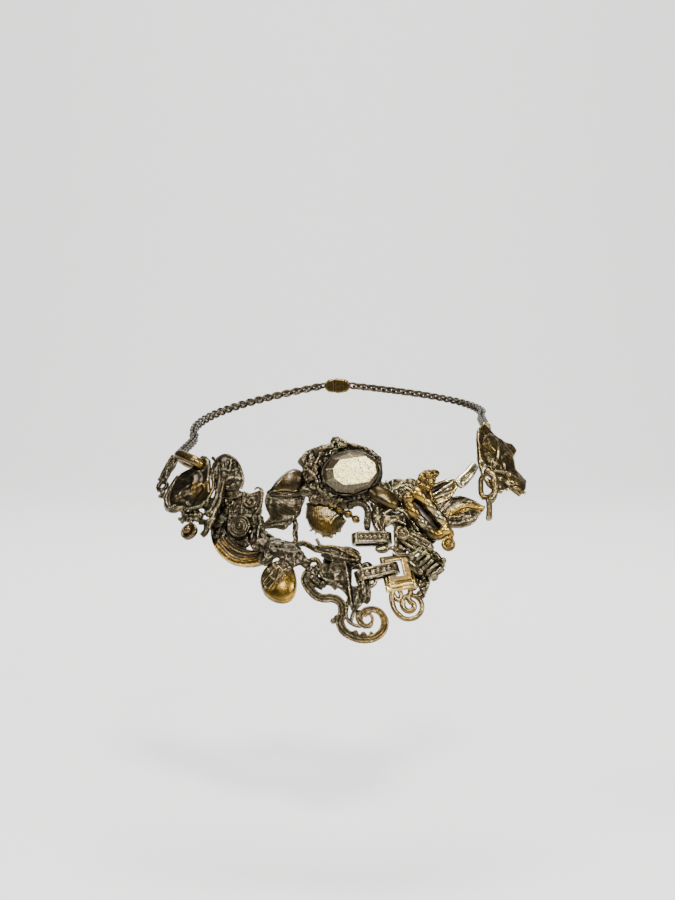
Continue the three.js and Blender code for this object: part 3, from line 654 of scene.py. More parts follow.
@bronze
def filigree_panel(c):
    c.rod(curl(-4.6, 0.2, 2.3, 0.5, 60, 1.3, 2, 12), 0.5)
    c.rod(curl(-5.4, -3.2, 1.6, 0.4, 200, 1.2, 1.8, 10), 0.45)
    c.rod(curl(3.6, 0.4, 2.6, 0.5, 150, 1.4, 1.9, 14), 0.55)
    c.rod([(0.4, 4.6, 1.6), (0.4, 0, 1.9), (0.2, -4.6, 1.6)], 0.5)
    c.rod([(7.4, 5.6, 1.7), (7.9, 1.6, 1.8), (7.6, -2, 1.8), (5.4, -5.6, 1.6)], 0.75)
    c.rod([(7.4, 5.6, 1.8), (5.8, 6.2, 2), (4.6, 5.2, 2)], 0.6, 0.4)
    for i in range(14):
        c.ball(-7.4 + i * 1, 4.2 + 1.1 * math.sin(i * 0.45), 1.4, 0.5, detail=1)
        c.ball(-6.8 + i * 0.95, -4.8 - 0.4 * math.sin(i * 0.5), 1.3, 0.5, detail=1)
    for x, y in ((2, 3), (-1.4, 1.8), (-1.6, -1.6), (1.9, -3.2), (5.9, -2.6), (-2.6, -3.6)):
        c.ball(x, y, 1.5, 0.75, detail=1)
    c.rod([(-9.4, -3.6, 0), (-9.6, 1, 0.6), (-8.4, 5.2, 0.6)], 1.3)
    c.rod([(-10.4, -9.4, 0.4), (-9.4, -5, 0.8), (-9.8, 0.4, 0.2)], 1.2)
    c.rod([(6.6, -6, 0.8), (8.4, -8, 0.8), (9.6, -11, 0.4)], 1.1)
    c.skin("wire")
    c.cast_skin(0.1, 1.1)


@bronze
def ringed_button(c):
    for r in (4, 2.9, 1.9):
        c.hoop(0, 0, 2.1, r, 0.34)
    c.ball(0, 0, 2.2, 1.05)
    c.skin("ring")
    c.gold += 0.25 * c.dome(0, 0, 2)
    c.cast_skin(0.05, 1.3)


@cast("worn_brass", keep=0.8)
def crescent(c):
    c.rod([(-15.6, 3, 1.2), (-13.2, 3.6, 2), (-10.8, 2.2, 1.6)], 1.3)
    c.ball(-13.2, 1.6, 1.6, 3.1, 0.75)
    c.balls(2.4, ((-12.4, -2.4, 1.2), (-13.4, -4.6, 1), (-10.6, -4.4, 1.25), (-12.2, -6.4, 0.8)))
    c.pads(0.9, 1.2, (
        (-8.4, 2.8, 3.4, 4, 20), (-3.4, 4, 4, 2.8, 0), (1.4, 1.8, 3.4, 4, -20), (-4, -5, 5, 3.6, -30),
        (2.4, -3.8, 4.4, 3.4, 20), (6, -6.6, 3.4, 3, 0), (-8.6, -2.6, 3.4, 4, 20), (-11.4, 6.2, 2.4, 3, 0)))
    c.rod([(-9.6, 6.4, 1.2), (-9.2, 2, 2), (-8.6, -2.4, 2.2), (-6, -6, 2.2)], 0.8)
    c.rod([(2.4, 4.4, 1.4), (3.8, 0.6, 2), (3.2, -3.4, 2.2), (5, -6.4, 2.2)], 0.9)
    c.skin()
    angle = np.degrees(np.arctan2(c.y, c.x)) % 360
    radius = np.hypot(c.x, c.y)
    band = ease(angle, 200, 216) * ease(radius, 7.6, 9.2)
    c.soften(14, band * ease(radius, 14.6, 13.4))
    ribs = np.sin((radius - 0.6 + 0.3 * lumps(c.co, 4)) / 1.15 * math.tau)
    c.lift(band * (0.11 * ribs + 1.3 * ease(radius, 11.5, 14.5)))
    c.lift((1 - band) * ease(radius, 13, 11) * (0.8 * crumple(c.co, 3) - 0.3))
    lip = c.line([(-11.4, -4), (-8.4, -8.4), (-4, -10.6), (1, -11.2), (6.4, -8.6), (8, -6)], 0.8)
    c.lift(0.7 * lip * band)
    c.gold += 0.45 * ease(radius, 12, 15) * band - 0.7 * (1 - band) - 0.35 * band * ease(radius, 12, 10)
    c.worn = 0.14 * ease(radius, 14.4, 15.6) * band - 0.10
    c.cast_skin(0.09, 1.4)


# ---- Centre top ----------------------------------------------------------------------------

@cast("dark_bronze", keep=0.8)
def shell_leaf(c):
    edge = [
        (7.6, 10.4, 1.2), (8.8, 5.6, 1.4), (8.6, 0.4, 1.4), (6.6, -4.4, 1.3), (3.8, -8.6, 1.2),
        (0.6, -11.6, 1)]
    for i, p in enumerate(spline([Vector(q) for q in edge], 4)):
        c.ball(p.x, p.y, p.z, 0.85 + 0.25 * (i % 2), detail=1)
    c.rod([(-4.4, 2.8, 1.6), (0.6, 2, 2.2), (5.6, 2.7, 2), (8.4, 3, 1.4)], 0.4)
    c.pad(-2.6, -1.6, 0.9, 4.6, 6.4, 1.2, 10)
    c.pad(3.6, -2.6, 0.9, 4.4, 6, 1.2, 20)
    c.rod([(2.4, -10, 1.2), (-2.6, -10.2, 1.5), (-8, -12, 1.2), (-11, -12.6, 0.8)], 0.7, 0.4)
    c.rod([(4.6, -7, 1.2), (0.4, -8.4, 1.6), (-4.6, -9.4, 1.4), (-9.6, -10.6, 1)], 0.7, 0.4)
    c.pad(-3.6, -9.8, 0.7, 5, 1.8, 0.8, 12)
    c.skin()
    upper = ease(c.y, 2, 3)
    c.soften(34, (1 - upper) * ease(c.rim, 0.6, 1.6) * ease(c.y, -9, -7))
    c.lift(upper * 2.8 * c.dome(2, 6.8, 7.4, 6.4, 55) * ease(c.rim, 0, 1.5))
    c.lift((1 - upper) * (0.7 * c.dome(1.2, -2.8, 6, 7, -30) + 0.18 * crumple(c.co, 4.2, 2)))
    c.lift(-0.5 * c.line([(-4.4, 0.9), (2, 0.4), (8, 1.2)], 0.5)
           + 0.012 * c.folds(60, 1.3, 0.8) * (1 - upper))
    c.gold = 0.25 * upper - 0.25 * (1 - upper)
    c.worn = 0.02 * upper - 0.02
    c.push(0.06 * lumps(c.co, 1.4) * (1 - upper) + 0.02 * lumps(c.co, 0.9))


@cast("dark_bronze", keep=0.8)
def stone_setting(c):
    rng = np.random.default_rng(5)
    # grains round the seat: how many, arc in degrees, reach, centre, squash, height, rise and size
    for count, arc, reach, centre, squash, z, rise, size in (
            (60, (95, 262), (10.6, 15.2), (2.2, -0.8), (1.1, 0.8), 2.4, 0.9, (0.6, 1.3)),
            (46, (225, 345), (10.4, 14.2), (3.3, -0.9), (1, 0.88), 2, 0.8, (0.5, 1.1))):
        for _ in range(count):
            angle, r = math.radians(rng.uniform(*arc)), rng.uniform(*reach)
            c.ball(centre[0] + r * math.cos(angle) * squash[0], centre[1] + r * math.sin(angle) * squash[1],
                   z + rng.uniform(-0.4, rise), rng.uniform(*size), detail=1)
    for x, y, r in ((-14, -8, 2.4), (-10.6, -11, 2.4), (-6.6, -11.4, 2.6), (-2.8, -12.2, 2.4), (1, -13, 2.2),
                    (4.8, -12.2, 2.2), (8, -10.4, 2.4), (-14.6, 3.6, 2.2), (-8, 7.8, 2.2), (13, 4.6, 2)):
        c.pad(x, y, 1.4, r * 1.2, r, 1.3)
    c.rod([
        (-4.4, 9.8, 2.2), (-1.6, 12.2, 2.2), (0.6, 11.2, 2.6), (3.4, 9.9, 3.2), (8.6, 8.9, 3.2)], 0.85, 0.5)
    c.rod([(-11, 7.6, 2.6), (-7.4, 8.6, 3), (-4.2, 9.6, 2.8)], 1.2, 1)
    c.rod([(12.4, 5.6, 3.2), (14.2, 1.6, 3.4), (13.4, -3.2, 3), (11, -6.6, 2.6)], 0.8, 0.7)
    c.rod([(-13.6, 0.4, 3), (-10, -3.4, 3.4), (-9.4, -7, 3.2), (-6, -10, 2.6)], 0.7)
    c.rod([(-8.6, 5.6, 3.6), (-10.6, 2, 3.8), (-9.4, -1.6, 3.6)], 0.7)
    c.skin("leaf")
    seat = np.hypot((c.x - 3.3) / 11.9, (c.y + 1.2) / 9.4)
    outside = ease(seat, 0.9, 1.02)
    c.push(outside * (0.75 * crumple(c.co, 2.6) - 0.35) + 0.1 * outside * lumps(c.co, 0.8))
    c.co[:, 2] -= 0.9 * ease(seat, 1.1, 0.98) * ease(c.z, 2.6, 4.2)
    c.soften(2, outside)
    # painted shade: the metal in the seat, under the stone, is darker
    c.worn = 0.05 - 0.34 * ease(seat, 1.12, 1.02)


# The long flat top of the stone, drawn out from the CAD facets that lie above the height.
TABLE = dict(height=4.4, shift=1.3, stretch=1.16, widen=1.24, half_width=4.9)


def stone():
    """The faceted stone: CAD facets cut once more, kept crisp, each with its own tone."""
    bm = bmesh.new()
    bm.from_mesh(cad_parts["stone"].data)
    bmesh.ops.remove_doubles(bm, verts=bm.verts, dist=1e-6)
    seat = seat_matrix(*SEATS["stone"])
    bm.transform(seat.inverted())
    bmesh.ops.dissolve_limit(bm, angle_limit=math.radians(2), verts=bm.verts, edges=bm.edges)
    for vert in bm.verts:
        if vert.co.z > TABLE["height"]:
            vert.co.x = TABLE["shift"] + TABLE["stretch"] * vert.co.x
            vert.co.y = math.copysign(min(TABLE["widen"] * abs(vert.co.y), TABLE["half_width"]), vert.co.y)
    bm.normal_update()
    crown = [e for e in bm.edges if max(v.co.z for v in e.verts) > TABLE["height"]]
    bmesh.ops.bevel(bm, geom=crown, offset=0.12, offset_type="OFFSET", segments=1, profile=0.5,
                    affect="EDGES", material=-1)
    bmesh.ops.scale(bm, vec=(1.07, 1.07, 1.04), verts=bm.verts)
    bm.transform(seat)
    mesh = bpy.data.meshes.new("stone")
    bm.to_mesh(mesh)
    bm.free()
    local = seat.inverted().to_3x3().normalized()
    tone = mesh.attributes.new("tone", "FLOAT", "FACE")
    table = mesh.attributes.new("table", "FLOAT", "FACE")
    spread = np.random.default_rng(3).uniform(0, 1, len(mesh.polygons))
    for face, shade in zip(mesh.polygons, spread):
        up = (local @ face.normal).normalized().z
        tone.data[face.index].value = float(shade)
        table.data[face.index].value = 1 if up > 0.985 else 0
    mesh.materials.clear()
    mesh.materials.append(STONE)
    piece = bpy.data.objects.new("foiled_stone", mesh)
    bpy.context.scene.collection.objects.link(piece)
    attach(piece, "root")
    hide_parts("stone")


stone()


@brass
def shield(c):
    c.balls(1.2, (
        (1.9, -7.6, 0.85), (5.1, -5.4, 0.85), (-6.2, -5.2, 0.75), (-4.4, -6.4, 0.6), (-7.6, 5.4, 0.7),
        (-1.4, -7.6, 0.5), (3.6, -6.6, 0.5)))
    c.rod([(-7.8, -0.6, 1.2), (-7.4, 4, 1.3), (-5.4, 7.2, 1.2)], 0.45)
    c.pad(2.2, -1, 0.5, 5.2, 3, 1, -42)
    c.pad(4.4, 2.2, 0.6, 2.8, 2.6, 1, -30)
    c.skin()
    c.soften(24, ease(c.rim, 0.5, 1.4))
    c.lift(1.5 * c.dome(-1, -0.4, 8.4, 8) + 0.022 * c.folds(6, 0.85, 0.5) * ease(c.rim, 0.4, 1.5))
    c.lift(0.4 * c.line([(1.6, -2.2), (3.2, -0.2), (4.6, 0.8)], 0.5))
    belly = c.dome(-0.4, -3.4, 4.4, 3.6)
    c.gold += 0.6 * belly - 0.15 - 0.3 * ease(c.rim, 3, 0.4)
    c.worn = 0.06 * belly
    c.push(0.05 * lumps(c.co, 0.9))


@brass
def bead_row(c):
    for x, y, r in ((-5.6, 3.6, 1.35), (-2.4, 1.7, 1.5), (0.9, 0, 1.55), (3.8, -2, 1.45)):
        c.ball(x, y, 0.25, r)
        c.hoop(x, y, -0.3, r * 0.95, 0.3)
    c.skin("wire")
    c.gold += 0.3
    c.cast_skin(0.05, 1.2)


@bronze
def ribbed_arc(c):
    path = spline([Vector(p) for p in curl(0, 0, 3.9, 3.9, 150, -0.42, 0.2, 7)] + [
        Vector((3.7, -3.4, 0.2)), Vector((3.3, -6.2, 0.2))], 3)
    for i, p in enumerate(path):
        c.ball(p.x, p.y, p.z, 1.45 if i % 2 else 1, detail=1)
    c.rod([(v.x * 0.72, v.y * 0.72, 0.5) for v in path[::3]], 0.45)
    c.rod([(v.x * 1.26, v.y * 1.2, 0.3) for v in path[::3]], 0.4)
    c.skin("scroll")
    c.cast_skin(0.06, 1)


@brass
def smooth_link(c):
    c.pad(-1, 1, 1, 7.2, 3.2, 3, -3)
    c.skin("wire")
    c.soften(40)
    c.push(0.9 + 0.06 * lumps(c.co, 4))
    c.gold = -0.15 + 0.25 * lumps(c.co, 4)
    c.worn = -0.05
    c.cast_skin(0.02, 2.2)


# ---- Centre low ----------------------------------------------------------------------------

@bronze
def twig(c):
    c.rod([(-8.4, 4.4, 0), (-3.4, 2.6, 0.6), (0.6, 0.8, 0.7), (4.4, -2.6, 0.6)], 0.55, 0.5)
    for x, y in ((-4.6, 2), (-1.2, 1.8), (1.6, -0.8)):
        c.ball(x, y, 0.6, 0.95)
    c.skin("wire")
    c.cast_skin(0.16, 1.2)


@bronze
def knot(c):
    c.pads(0.6, 1.1, (
        (-9, 4.4, 4, 2.6, 20), (-4, 4.6, 4.4, 2.8, 0), (2, 2.6, 4.6, 3.4, -20), (0.6, -4, 3.6, 2.8, 0),
        (-7, -1.6, 3.4, 3, 0), (7, -2, 4.4, 2.4, -30)))
    c.rod([(-8, 3, 0.8), (-3.6, 5, 1.4), (2, 4.6, 1.2), (7, 2.4, 1)], 0.9, 0.6)
    c.rod([(-7.6, 0, 0.6), (-3, 1.6, 2.2), (2.4, 0.6, 2.2), (7.8, -1.6, 1)], 0.8, 0.6)
    c.rod([(-6, -3.4, 0.2), (-4.6, -1, 1.6), (-1.6, 3.2, 2.2)], 0.7)
    c.rod([(-12.6, 5.2, 0), (-8, 3.6, 0.4)], 0.9)
    c.rod([(6, -3, 1), (9.2, -5.4, 0.2), (12.6, -7.8, -0.4)], 1, 0.7)
    for x, y in ((-5.4, 2.8), (0.6, 3.2), (4.4, -1.8), (-0.6, -1.4), (2.8, -3.4), (6.4, 0.4), (-8.6, 1.4)):
        c.ball(x, y, 1.7, 0.9)
    c.skin()
    c.soften(4)
    c.push(0.8 * crumple(c.co, 3.8, 2) - 0.35)
    c.worn = -0.08
    c.cast_skin(0.08, 1.4)


@brass
def scored_drop(c):
    c.skin("face")
    scored = ease(-0.62 * c.x + 0.78 * c.y + 0.5 * lumps(c.co, 2), -2.6, 0.8)
    c.lift(2.2 * c.dome(0, 0, 7.6, 9.2))
    crack = np.zeros(len(c.x))
    rng = np.random.default_rng(21)
    for turn in (38, 52, 118, 131, 70):
        for _ in range(6):
            x, y = rng.uniform(-6, 4.6), rng.uniform(-4, 8)
            reach = rng.uniform(1.2, 3.2)
            dx, dy = reach * math.cos(math.radians(turn)), reach * math.sin(math.radians(turn))
            bend = rng.uniform(-0.5, 0.5)
            crack = np.maximum(crack, c.line([(x - dx, y - dy), (x + bend, y), (x + dx, y + dy)], 0.2))
    c.lift(scored * (0.3 * crack + 0.14 * lumps(c.co, 1.5)) + 0.5 * (1 - scored) * c.dome(1.6, -3, 5, 5))
    c.gold += 0.6 * (1 - scored) - 0.25 * scored
    # painted highlight: the gilt part grows brighter towards its right side
    c.worn = 0.16 * (1 - scored) * ease(c.x, 0, 4) + 0.02 * (1 - scored) - 0.08 * scored
    c.push(0.03 * lumps(c.co, 2.6))


@bronze
def branch(c):
    c.rod([(-6.4, 8.8, 0.4), (-5, 5.6, 0.8), (-6, 2.4, 0.8), (-5, -1.6, 1)], 0.8)
    c.rod([
        (-8.6, -2.6, 0.4), (-5.4, -1.6, 0.9), (-1.6, -1.2, 1.1), (1.2, -3, 1.2), (4.8, -3.6, 1),
        (7.6, -5.4, 0.8)], 0.9, 0.8)
    c.rod([(-1, -2.6, 0.4), (2.6, -4.6, 0.8), (5.8, -5.2, 0.6)], 0.7)
    c.balls(0.7, ((-5.6, -1.6, 1.5), (-6.4, -3.6, 1.2), (-1.4, -2, 1), (3.6, -3.6, 1.1), (-5.4, 6.6, 1.1)))
    c.skin("wire")
    c.gold = 0.3 * c.dome(0, -2.4, 4)
    c.cast_skin(0.17, 1.1)


@brass
def ridge_leaf(c):
    c.rod([(-10, 3.4, 0.4), (-7.4, 0.6, 1.4), (-2.4, 1.2, 2.1), (3, -0.2, 2), (7.4, -1, 1.4)], 0.7, 0.5)
    c.rod([(-7, -1.8, 0.8), (-1.8, -2.4, 1.4), (3.4, -2.4, 1.4), (7.6, -2, 1)], 0.6)
    c.pad(-1, -2.4, 0.6, 6.4, 2.2, 0.9)
    c.pad(4, 1.2, 0.4, 4, 1.8, 0.8, -10)
    c.skin("wire")
    c.lift(0.45 * crumple(c.co, 2.8) - 0.2)
    c.gold += 0.45 * c.line([(-7, 0.6), (-2, 1.2), (3, 0), (7, -1)], 0.9) - 0.5
    c.cast_skin(0.09, 1.2)


@cast("dark_bronze", keep=0.8)
def flower(c):
    c.pad(-6.2, 4.6, 0.9, 4.4, 5.2, 1.3, 20)
    c.pad(6.9, -2.4, 0.9, 2.4, 6.4, 1.2, 8)
    c.pad(0.5, 8.8, 0.7, 5.4, 3, 1.1)
    c.pad(7.6, 5.4, 0.6, 3, 3.6, 1)
    c.rod([(6.6, 5.4, 1.4), (8.8, 1, 1.8), (8, -4.4, 1.7), (5.2, -8.6, 1.2), (2.8, -10.8, 0.8)], 0.55)
    c.rod([(0.4, -6, 1), (1.4, -8.4, 1.4), (2.4, -11, 1)], 0.7)
    c.rod([(-7.6, 5.2, 1), (-5.4, 8.2, 1.6), (-1.6, 9.6, 1.5)], 0.6)
    c.rod([(-10, 7.4, 1), (-9.8, 3, 1.6), (-7.2, 0.4, 1.8), (-4.2, -0.6, 1.4)], 0.7)
    c.rod([(-9, 8.6, 1.2), (-7.6, 10, 1.3), (-5.6, 9.4, 1.5), (-5.4, 7.4, 1.8)], 0.7)
    c.rod([(-3.6, 11.8, 0.4), (0.8, 10.2, 1.2), (5.6, 10.4, 1)], 0.8)
    c.skin("leaf")
    spread = c.fan(2.2, -12.5, 15, 4) + 0.4 * lumps(c.co, 3)
    c.lift(0.3 * spread * ease(c.rim, 0.3, 1.4) + 1.2 * c.dome(-2.4, 3.4, 4.4, 6.4, 25))
    c.lift(0.9 * c.dome(5.8, -2, 1.8, 6, 8) + 0.9 * c.line([(-1, 9), (0.4, 3), (1, -3), (2, -9)], 0.8))
    c.lift(-1.2 * c.dome(3.6, 2.6, 2.4, 4.4) + 0.5 * crumple(c.co, 3.4, 2))
    c.worn = -0.03
    c.cast_skin(0.08, 1)


@bronze
def stem(c):
    c.rod([(1.2, 3.2, 0.6), (0.2, 0.6, 0.8), (-0.6, -3, 0.6)], 0.6)
    c.rod([
        (-1.6, 6.8, 0.4), (-2.4, 1.8, 0.8), (-1.6, -1.4, 0.8), (0.6, -3.2, 0.8), (3.4, -3.8, 0.6)], 0.85, 0.7)
    c.skin("wire")
    c.worn = 0.06
    c.cast_skin(0.08, 1.2)


@brass
def great_scroll(c):
    hook = curl(-10.6, 10.4, 4, 4.2, 85, 0.32, 0, 5)
    sweep = [(-12, 5, 0), (-8.5, 2.8, 0), (-4.2, 2.8, 0), (-1.2, 0.8, 0), (-0.5, -3, 0), (-1.5, -6.5, 0),
             (-0.3, -9.8, 0), (3.2, -12.4, 0)]
    ring = curl(9.4, -6.2, 7.5, 1.1, 254, 1.2, 0, 14)
    path = spline([Vector(p) for p in hook + sweep + ring], 3)
    # two rails along the band, which come together from where the ring starts
    rails = {1.15: [], -1.15: []}
    ring_from = 38
    for i, p in enumerate(path[:-1]):
        ahead = (path[i + 1] - p).normalized()
        apart = 1.1 - 0.72 * max(0, i - ring_from) / (len(path) - ring_from)
        for side, rail in rails.items():
            rail.append(p + Vector((-ahead.y, ahead.x, 0)) * side * apart + Vector((0, 0, 0.85)))
    for rail in rails.values():
        c.rod([tuple(p) for p in rail], 0.62, 0.42, smooth=1)
    c.balls(0.9, (
        (4.3, -11, 1.25), (7.4, -11.6, 1.1), (10.2, -11, 0.8), (-2.6, -5, 1.2), (-4.2, -6.2, 1)))
    c.rod([
        (-14.4, 14.6, 0.5), (-13.4, 17.6, 0.8), (-10.8, 18.2, 1), (-9, 16, 1), (-7.6, 13.2, 0.9),
        (-5.2, 11, 0.7)], 1.2, 0.9)
    c.rod([(-13.4, 16, 0.4), (-13.6, 12, 0.7), (-11.8, 8.6, 0.7), (-8.2, 6.4, 0.6)], 1, 0.7)
    c.rod([
        (-9.6, 14.4, 0.2), (-10.6, 11.6, 0.6), (-8.6, 9.4, 0.9), (-5.6, 8.6, 0.8), (-3, 6.4, 0.4)], 0.9, 0.7)
    c.balls(1, ((-8, 11.6, 1.3), (-6, 8.8, 1.1), (-10.2, 15.4, 1), (-4.6, 10.4, 1)))
    c.rod([
        (5.4, -1.8, 0.4), (5, -5.2, 0.6), (6.9, -8.1, 0.6), (9.8, -7.8, 0.6), (10.8, -5.2, 0.6),
        (9.2, -3.2, 0.6), (7.8, -4.6, 0.6)], 0.85, 0.6)
    c.skin("wire")
    c.gold += 0.35 * ease(c.x, 10, 15) - 0.35 * ease(c.x, 8, 2)
    c.worn = -0.05
    c.cast_skin(0.1, 1.5)


@bronze
def inner_scroll(c):
    c.rod([(-4.6, 4.6, 0.4), (-5.6, 2, 0.6), (-3.6, -0.8, 0.4), (-0.6, -2.8, 0.2)], 0.6)
    c.rod([(-3, 4.4, 0.3), (-1, 2.6, 0.6), (0.6, 0.2, 0.4)], 0.7, 0.5)
    c.ball(-0.2, -2.2, 0.5, 1.5)
    c.skin("wire")
    c.cast_skin(0.09, 1.2)


# ---- Right middle --------------------------------------------------------------------------

@cast("dark_bronze", keep=0.65)
def bark_plate(c):
    c.rod([
        (-11, 3.4, 1.4), (-8.8, 5.6, 1.6), (-6, 7.2, 1.6), (-3.8, 11.2, 1.5), (0.4, 13, 1.5),
        (4.6, 11.6, 1.4)], 0.8)
    c.rod([(-11.8, -2, 1.4), (-10.2, -6.4, 1.6), (-9.8, -10, 1.2)], 0.9)
    c.rod([(-4.4, -5.8, 1.8), (-1.4, -7.8, 2.2), (3, -10.6, 2), (7.2, -12.4, 1.6)], 0.9)
    c.rod([(5.6, 12.6, 1.6), (8.6, 8, 2.6), (11.6, 1.6, 2.6), (13.8, -4.6, 2)], 1.2, 1)
    c.rod([(1.4, 12.4, 1.8), (4.2, 9.6, 2.4), (6.6, 5.8, 2.2)], 0.8)
    c.rod([(-8.6, 1.6, 1.8), (-5, 3.2, 2.6), (-0.6, 2.2, 2.8), (2.4, -1, 2.4), (5, -5.4, 2)], 1, 0.8)
    c.rod([(-7.6, -3, 1.8), (-3.6, -1.6, 2.4), (0, -3.2, 2.4)], 0.9, 0.7)
    c.pads(0.8, 1.2, (
        (-7.2, 11.4, 3.4, 3.4, 20), (-2.6, 13.6, 4.2, 2.6, 10), (3.2, 14, 3.6, 2.4, -10),
        (10, -6, 3.4, 3.6, 0), (6.6, -12.4, 4, 2.6, -20), (-10.8, 6, 2.6, 3, 0), (9.6, 7.4, 3, 4.4, 20),
        (12, 1, 2.4, 4, 10), (-9.4, -12, 3, 2, 0), (-3, -14, 3, 1.6, 0)))
    rng = np.random.default_rng(8)
    for _ in range(26):
        x, y = rng.uniform(-9, 6), rng.uniform(9, 14.6)
        c.pad(x, y + 0.12 * x, 1.3, rng.uniform(0.8, 2), rng.uniform(0.6, 1.2), 0.9, rng.uniform(0, 180))
    c.skin()
    inside = ease(c.rim, 0, 1.2)
    grain = np.stack([c.x * 1.1, c.y * 0.85, c.z * 0], 1)
    c.lift(inside * (2.2 * crumple(grain, 8.5, 2) - 0.9))
    c.lift(0.9 * c.dome(-4.4, -0.4, 6, 4, 30))
    c.lift(-1 * c.dome(5.6, 4.6, 1.8, 5, -40))
    c.gold = 0.5 * c.dome(8, 6, 4, 7, -40) + 0.25 * c.dome(-7, 0, 4)
    c.worn = 0.12 + 0.06 * ease(c.y, 8, 11)
    c.push(0.1 * lumps(c.co, 1.5) + 0.04 * lumps(c.co, 0.8))


@brass
def long_link(c):
    c.pads(0.5, 2, (
        (-7.6, 3, 3.4, 1.9), (-1.4, 3.4, 3.2, 1.8), (4.6, 3.3, 3.2, 1.9), (9.2, 1.6, 2, 2),
        (6.8, -3.1, 3.2, 1.9), (-4.2, -3.2, 3.6, 1.9), (-9.6, -1.2, 2, 2.2), (1.4, -3.3, 2.8, 1.7)))
    c.pad(0, 0, -2.2, 9, 2.4, 0.8)
    c.skin("wire")
    c.soften(22)
    c.push(0.65 + 0.1 * lumps(c.co, 3.6))
    # painted shade: the back of the link, low under the rods and seen through the slot between them, is
    # darker and less gilt
    painted_shade_below = 0.6 * ease(c.z, -0.5, -1.5)
    c.gold += 0.7 * lumps(c.co, 4.4, 2) - 0.2 - painted_shade_below
    c.worn = 0.12 + 0.24 * lumps(c.co, 3) - painted_shade_below


@brass
def snail_boss(c):
    c.rod(curl(0, 0, 2.6, 0.5, 40, 1.6, 1.5, 18), 0.5, 0.4)
    c.ball(0, 0, 1.6, 0.8)
    c.rod([(0.6, 2.2, 0.8), (1.8, 4.4, 0.6), (1.2, 6.4, 0.2)], 1.1, 0.7)
    c.skin("scroll")
    c.gold += 0.35
    c.worn = 0.05
    c.cast_skin(0.06, 1.2)


@bronze
def scroll_pin(c):
    c.hoop(-4.4, 2.2, 0.6, 1.9, 0.6, -30, 1.3)
    c.rod([(-3, 0.4, 0), (1, -1.6, 0.3), (4.8, -4.4, 0)], 0.5)
    c.rod([(-5.2, 0.4, -0.4), (-2.6, -2.2, -0.2), (2, -4.6, -0.2), (6.4, -6.6, -0.4)], 0.7)
    c.ball(6, -3.6, 0.2, 1.5)
    c.skin("pin")
    c.gold = 0.2
    c.worn = 0.12
    c.push(0.15 + 0.15 * lumps(c.co, 1.6))


@bronze
def coil(c):
    for k in range(5):
        y = 4.2 - 2.1 * k
        c.rod([(3.3 * math.cos(a), y - 0.35 * a / math.pi, 2.1 * math.sin(a)) for a in
               [i * math.tau / 12 for i in range(13)]], 0.72, smooth=2)
    c.rod([(3.8, 4, 0), (5, 0, -0.4), (4, -4.4, 0)], 1, 0.8)
    c.rod([(-4, 7, 0.4), (-2, 6.4, 1.6), (2, 6.6, 1.2), (4.4, 4.8, 0.4)], 0.9)
    c.pad(-4.4, 3, -0.6, 2.4, 4.4, 1.2)
    c.pad(1, 8, -0.4, 4.4, 2.4, 1.2)
    c.balls(0.8, ((5.2, 6, 1.3), (-3.6, 5.6, 1.1), (-4.6, -0.6, 1.2), (5.4, -2.4, 1.2), (1.8, 9.2, 1.2)))
    c.skin("wire")
    c.worn = 0.10
    c.push(0.12 + 0.22 * lumps(c.co, 1.5))


@bronze
def bark_tip(c):
    c.rod([(-2.8, 6, 1.4), (0.2, 2.6, 1.8), (2.6, 0, 1.4)], 0.9)
    c.rod([(3.6, 5.4, 1.2), (3.2, 0.4, 1.6), (1, -6, 1.4)], 0.9, 0.7)
    c.pads(0.8, 1.1, (
        (-4, 5, 2.6, 3.4), (2.8, 5.6, 3.4, 3), (4.4, 1, 2.2, 3.6), (-3.4, -2.4, 2, 3.6), (-1, -7.6, 2, 1.8)))
    c.balls(1.6, (
        (0, -5.4, 0.9), (0.3, -7.2, 0.8), (-1.4, 1, 1.1), (1.8, -3, 0.9), (-0.8, -2.4, 0.9), (-3.8, 3, 1),
        (4.8, 3, 1), (-3.4, -4.4, 0.8)))
    diamond = Matrix.Translation((0.6, 0.4, 1.6)) @ turned_by(35, "Z") @ Matrix.Diagonal((3.2, 3.2, 1.8, 1))
    bmesh.ops.create_cube(c.bm, size=1, matrix=diamond)
    c.rod([(5.4, 9, 1), (7, 5.2, 1.4), (6.6, 1.4, 1)], 1)
    c.skin("wire")
    c.push(0.45 * crumple(c.co, 2.2) - 0.15)
    c.worn = 0.06
    c.cast_skin(0.1, 1.3)


@brass
def buckle(c):
    c.skin("face")
    edge = np.maximum(np.abs(c.x) - 6.2, np.abs(c.y) - 7)
    foot = ease(c.y, -3.4, -4)
    c.lift(0.55 * ease(-edge, 1.3, 1.9) - 0.35 * foot + 0.1 * foot * lumps(c.co, 1.8))
    c.lift(0.25 * c.line([(-5, -4), (5, -4)], 0.3) + 0.04 * lumps(np.stack([c.x * 0.2, c.y, c.z], 1), 0.6))
    c.gold += 0.3 - 0.5 * ease(c.y, 4.6, 6.4) - 0.2 * foot
    # painted highlight: the foot band along the bottom is brighter; painted shade: the right side above it is
    # darker
    c.worn = 0.38 * foot - 0.12 * ease(c.x, 3.6, 4.6) * (1 - foot) - 0.06
    c.push(0.025 * lumps(c.co, 1.2))


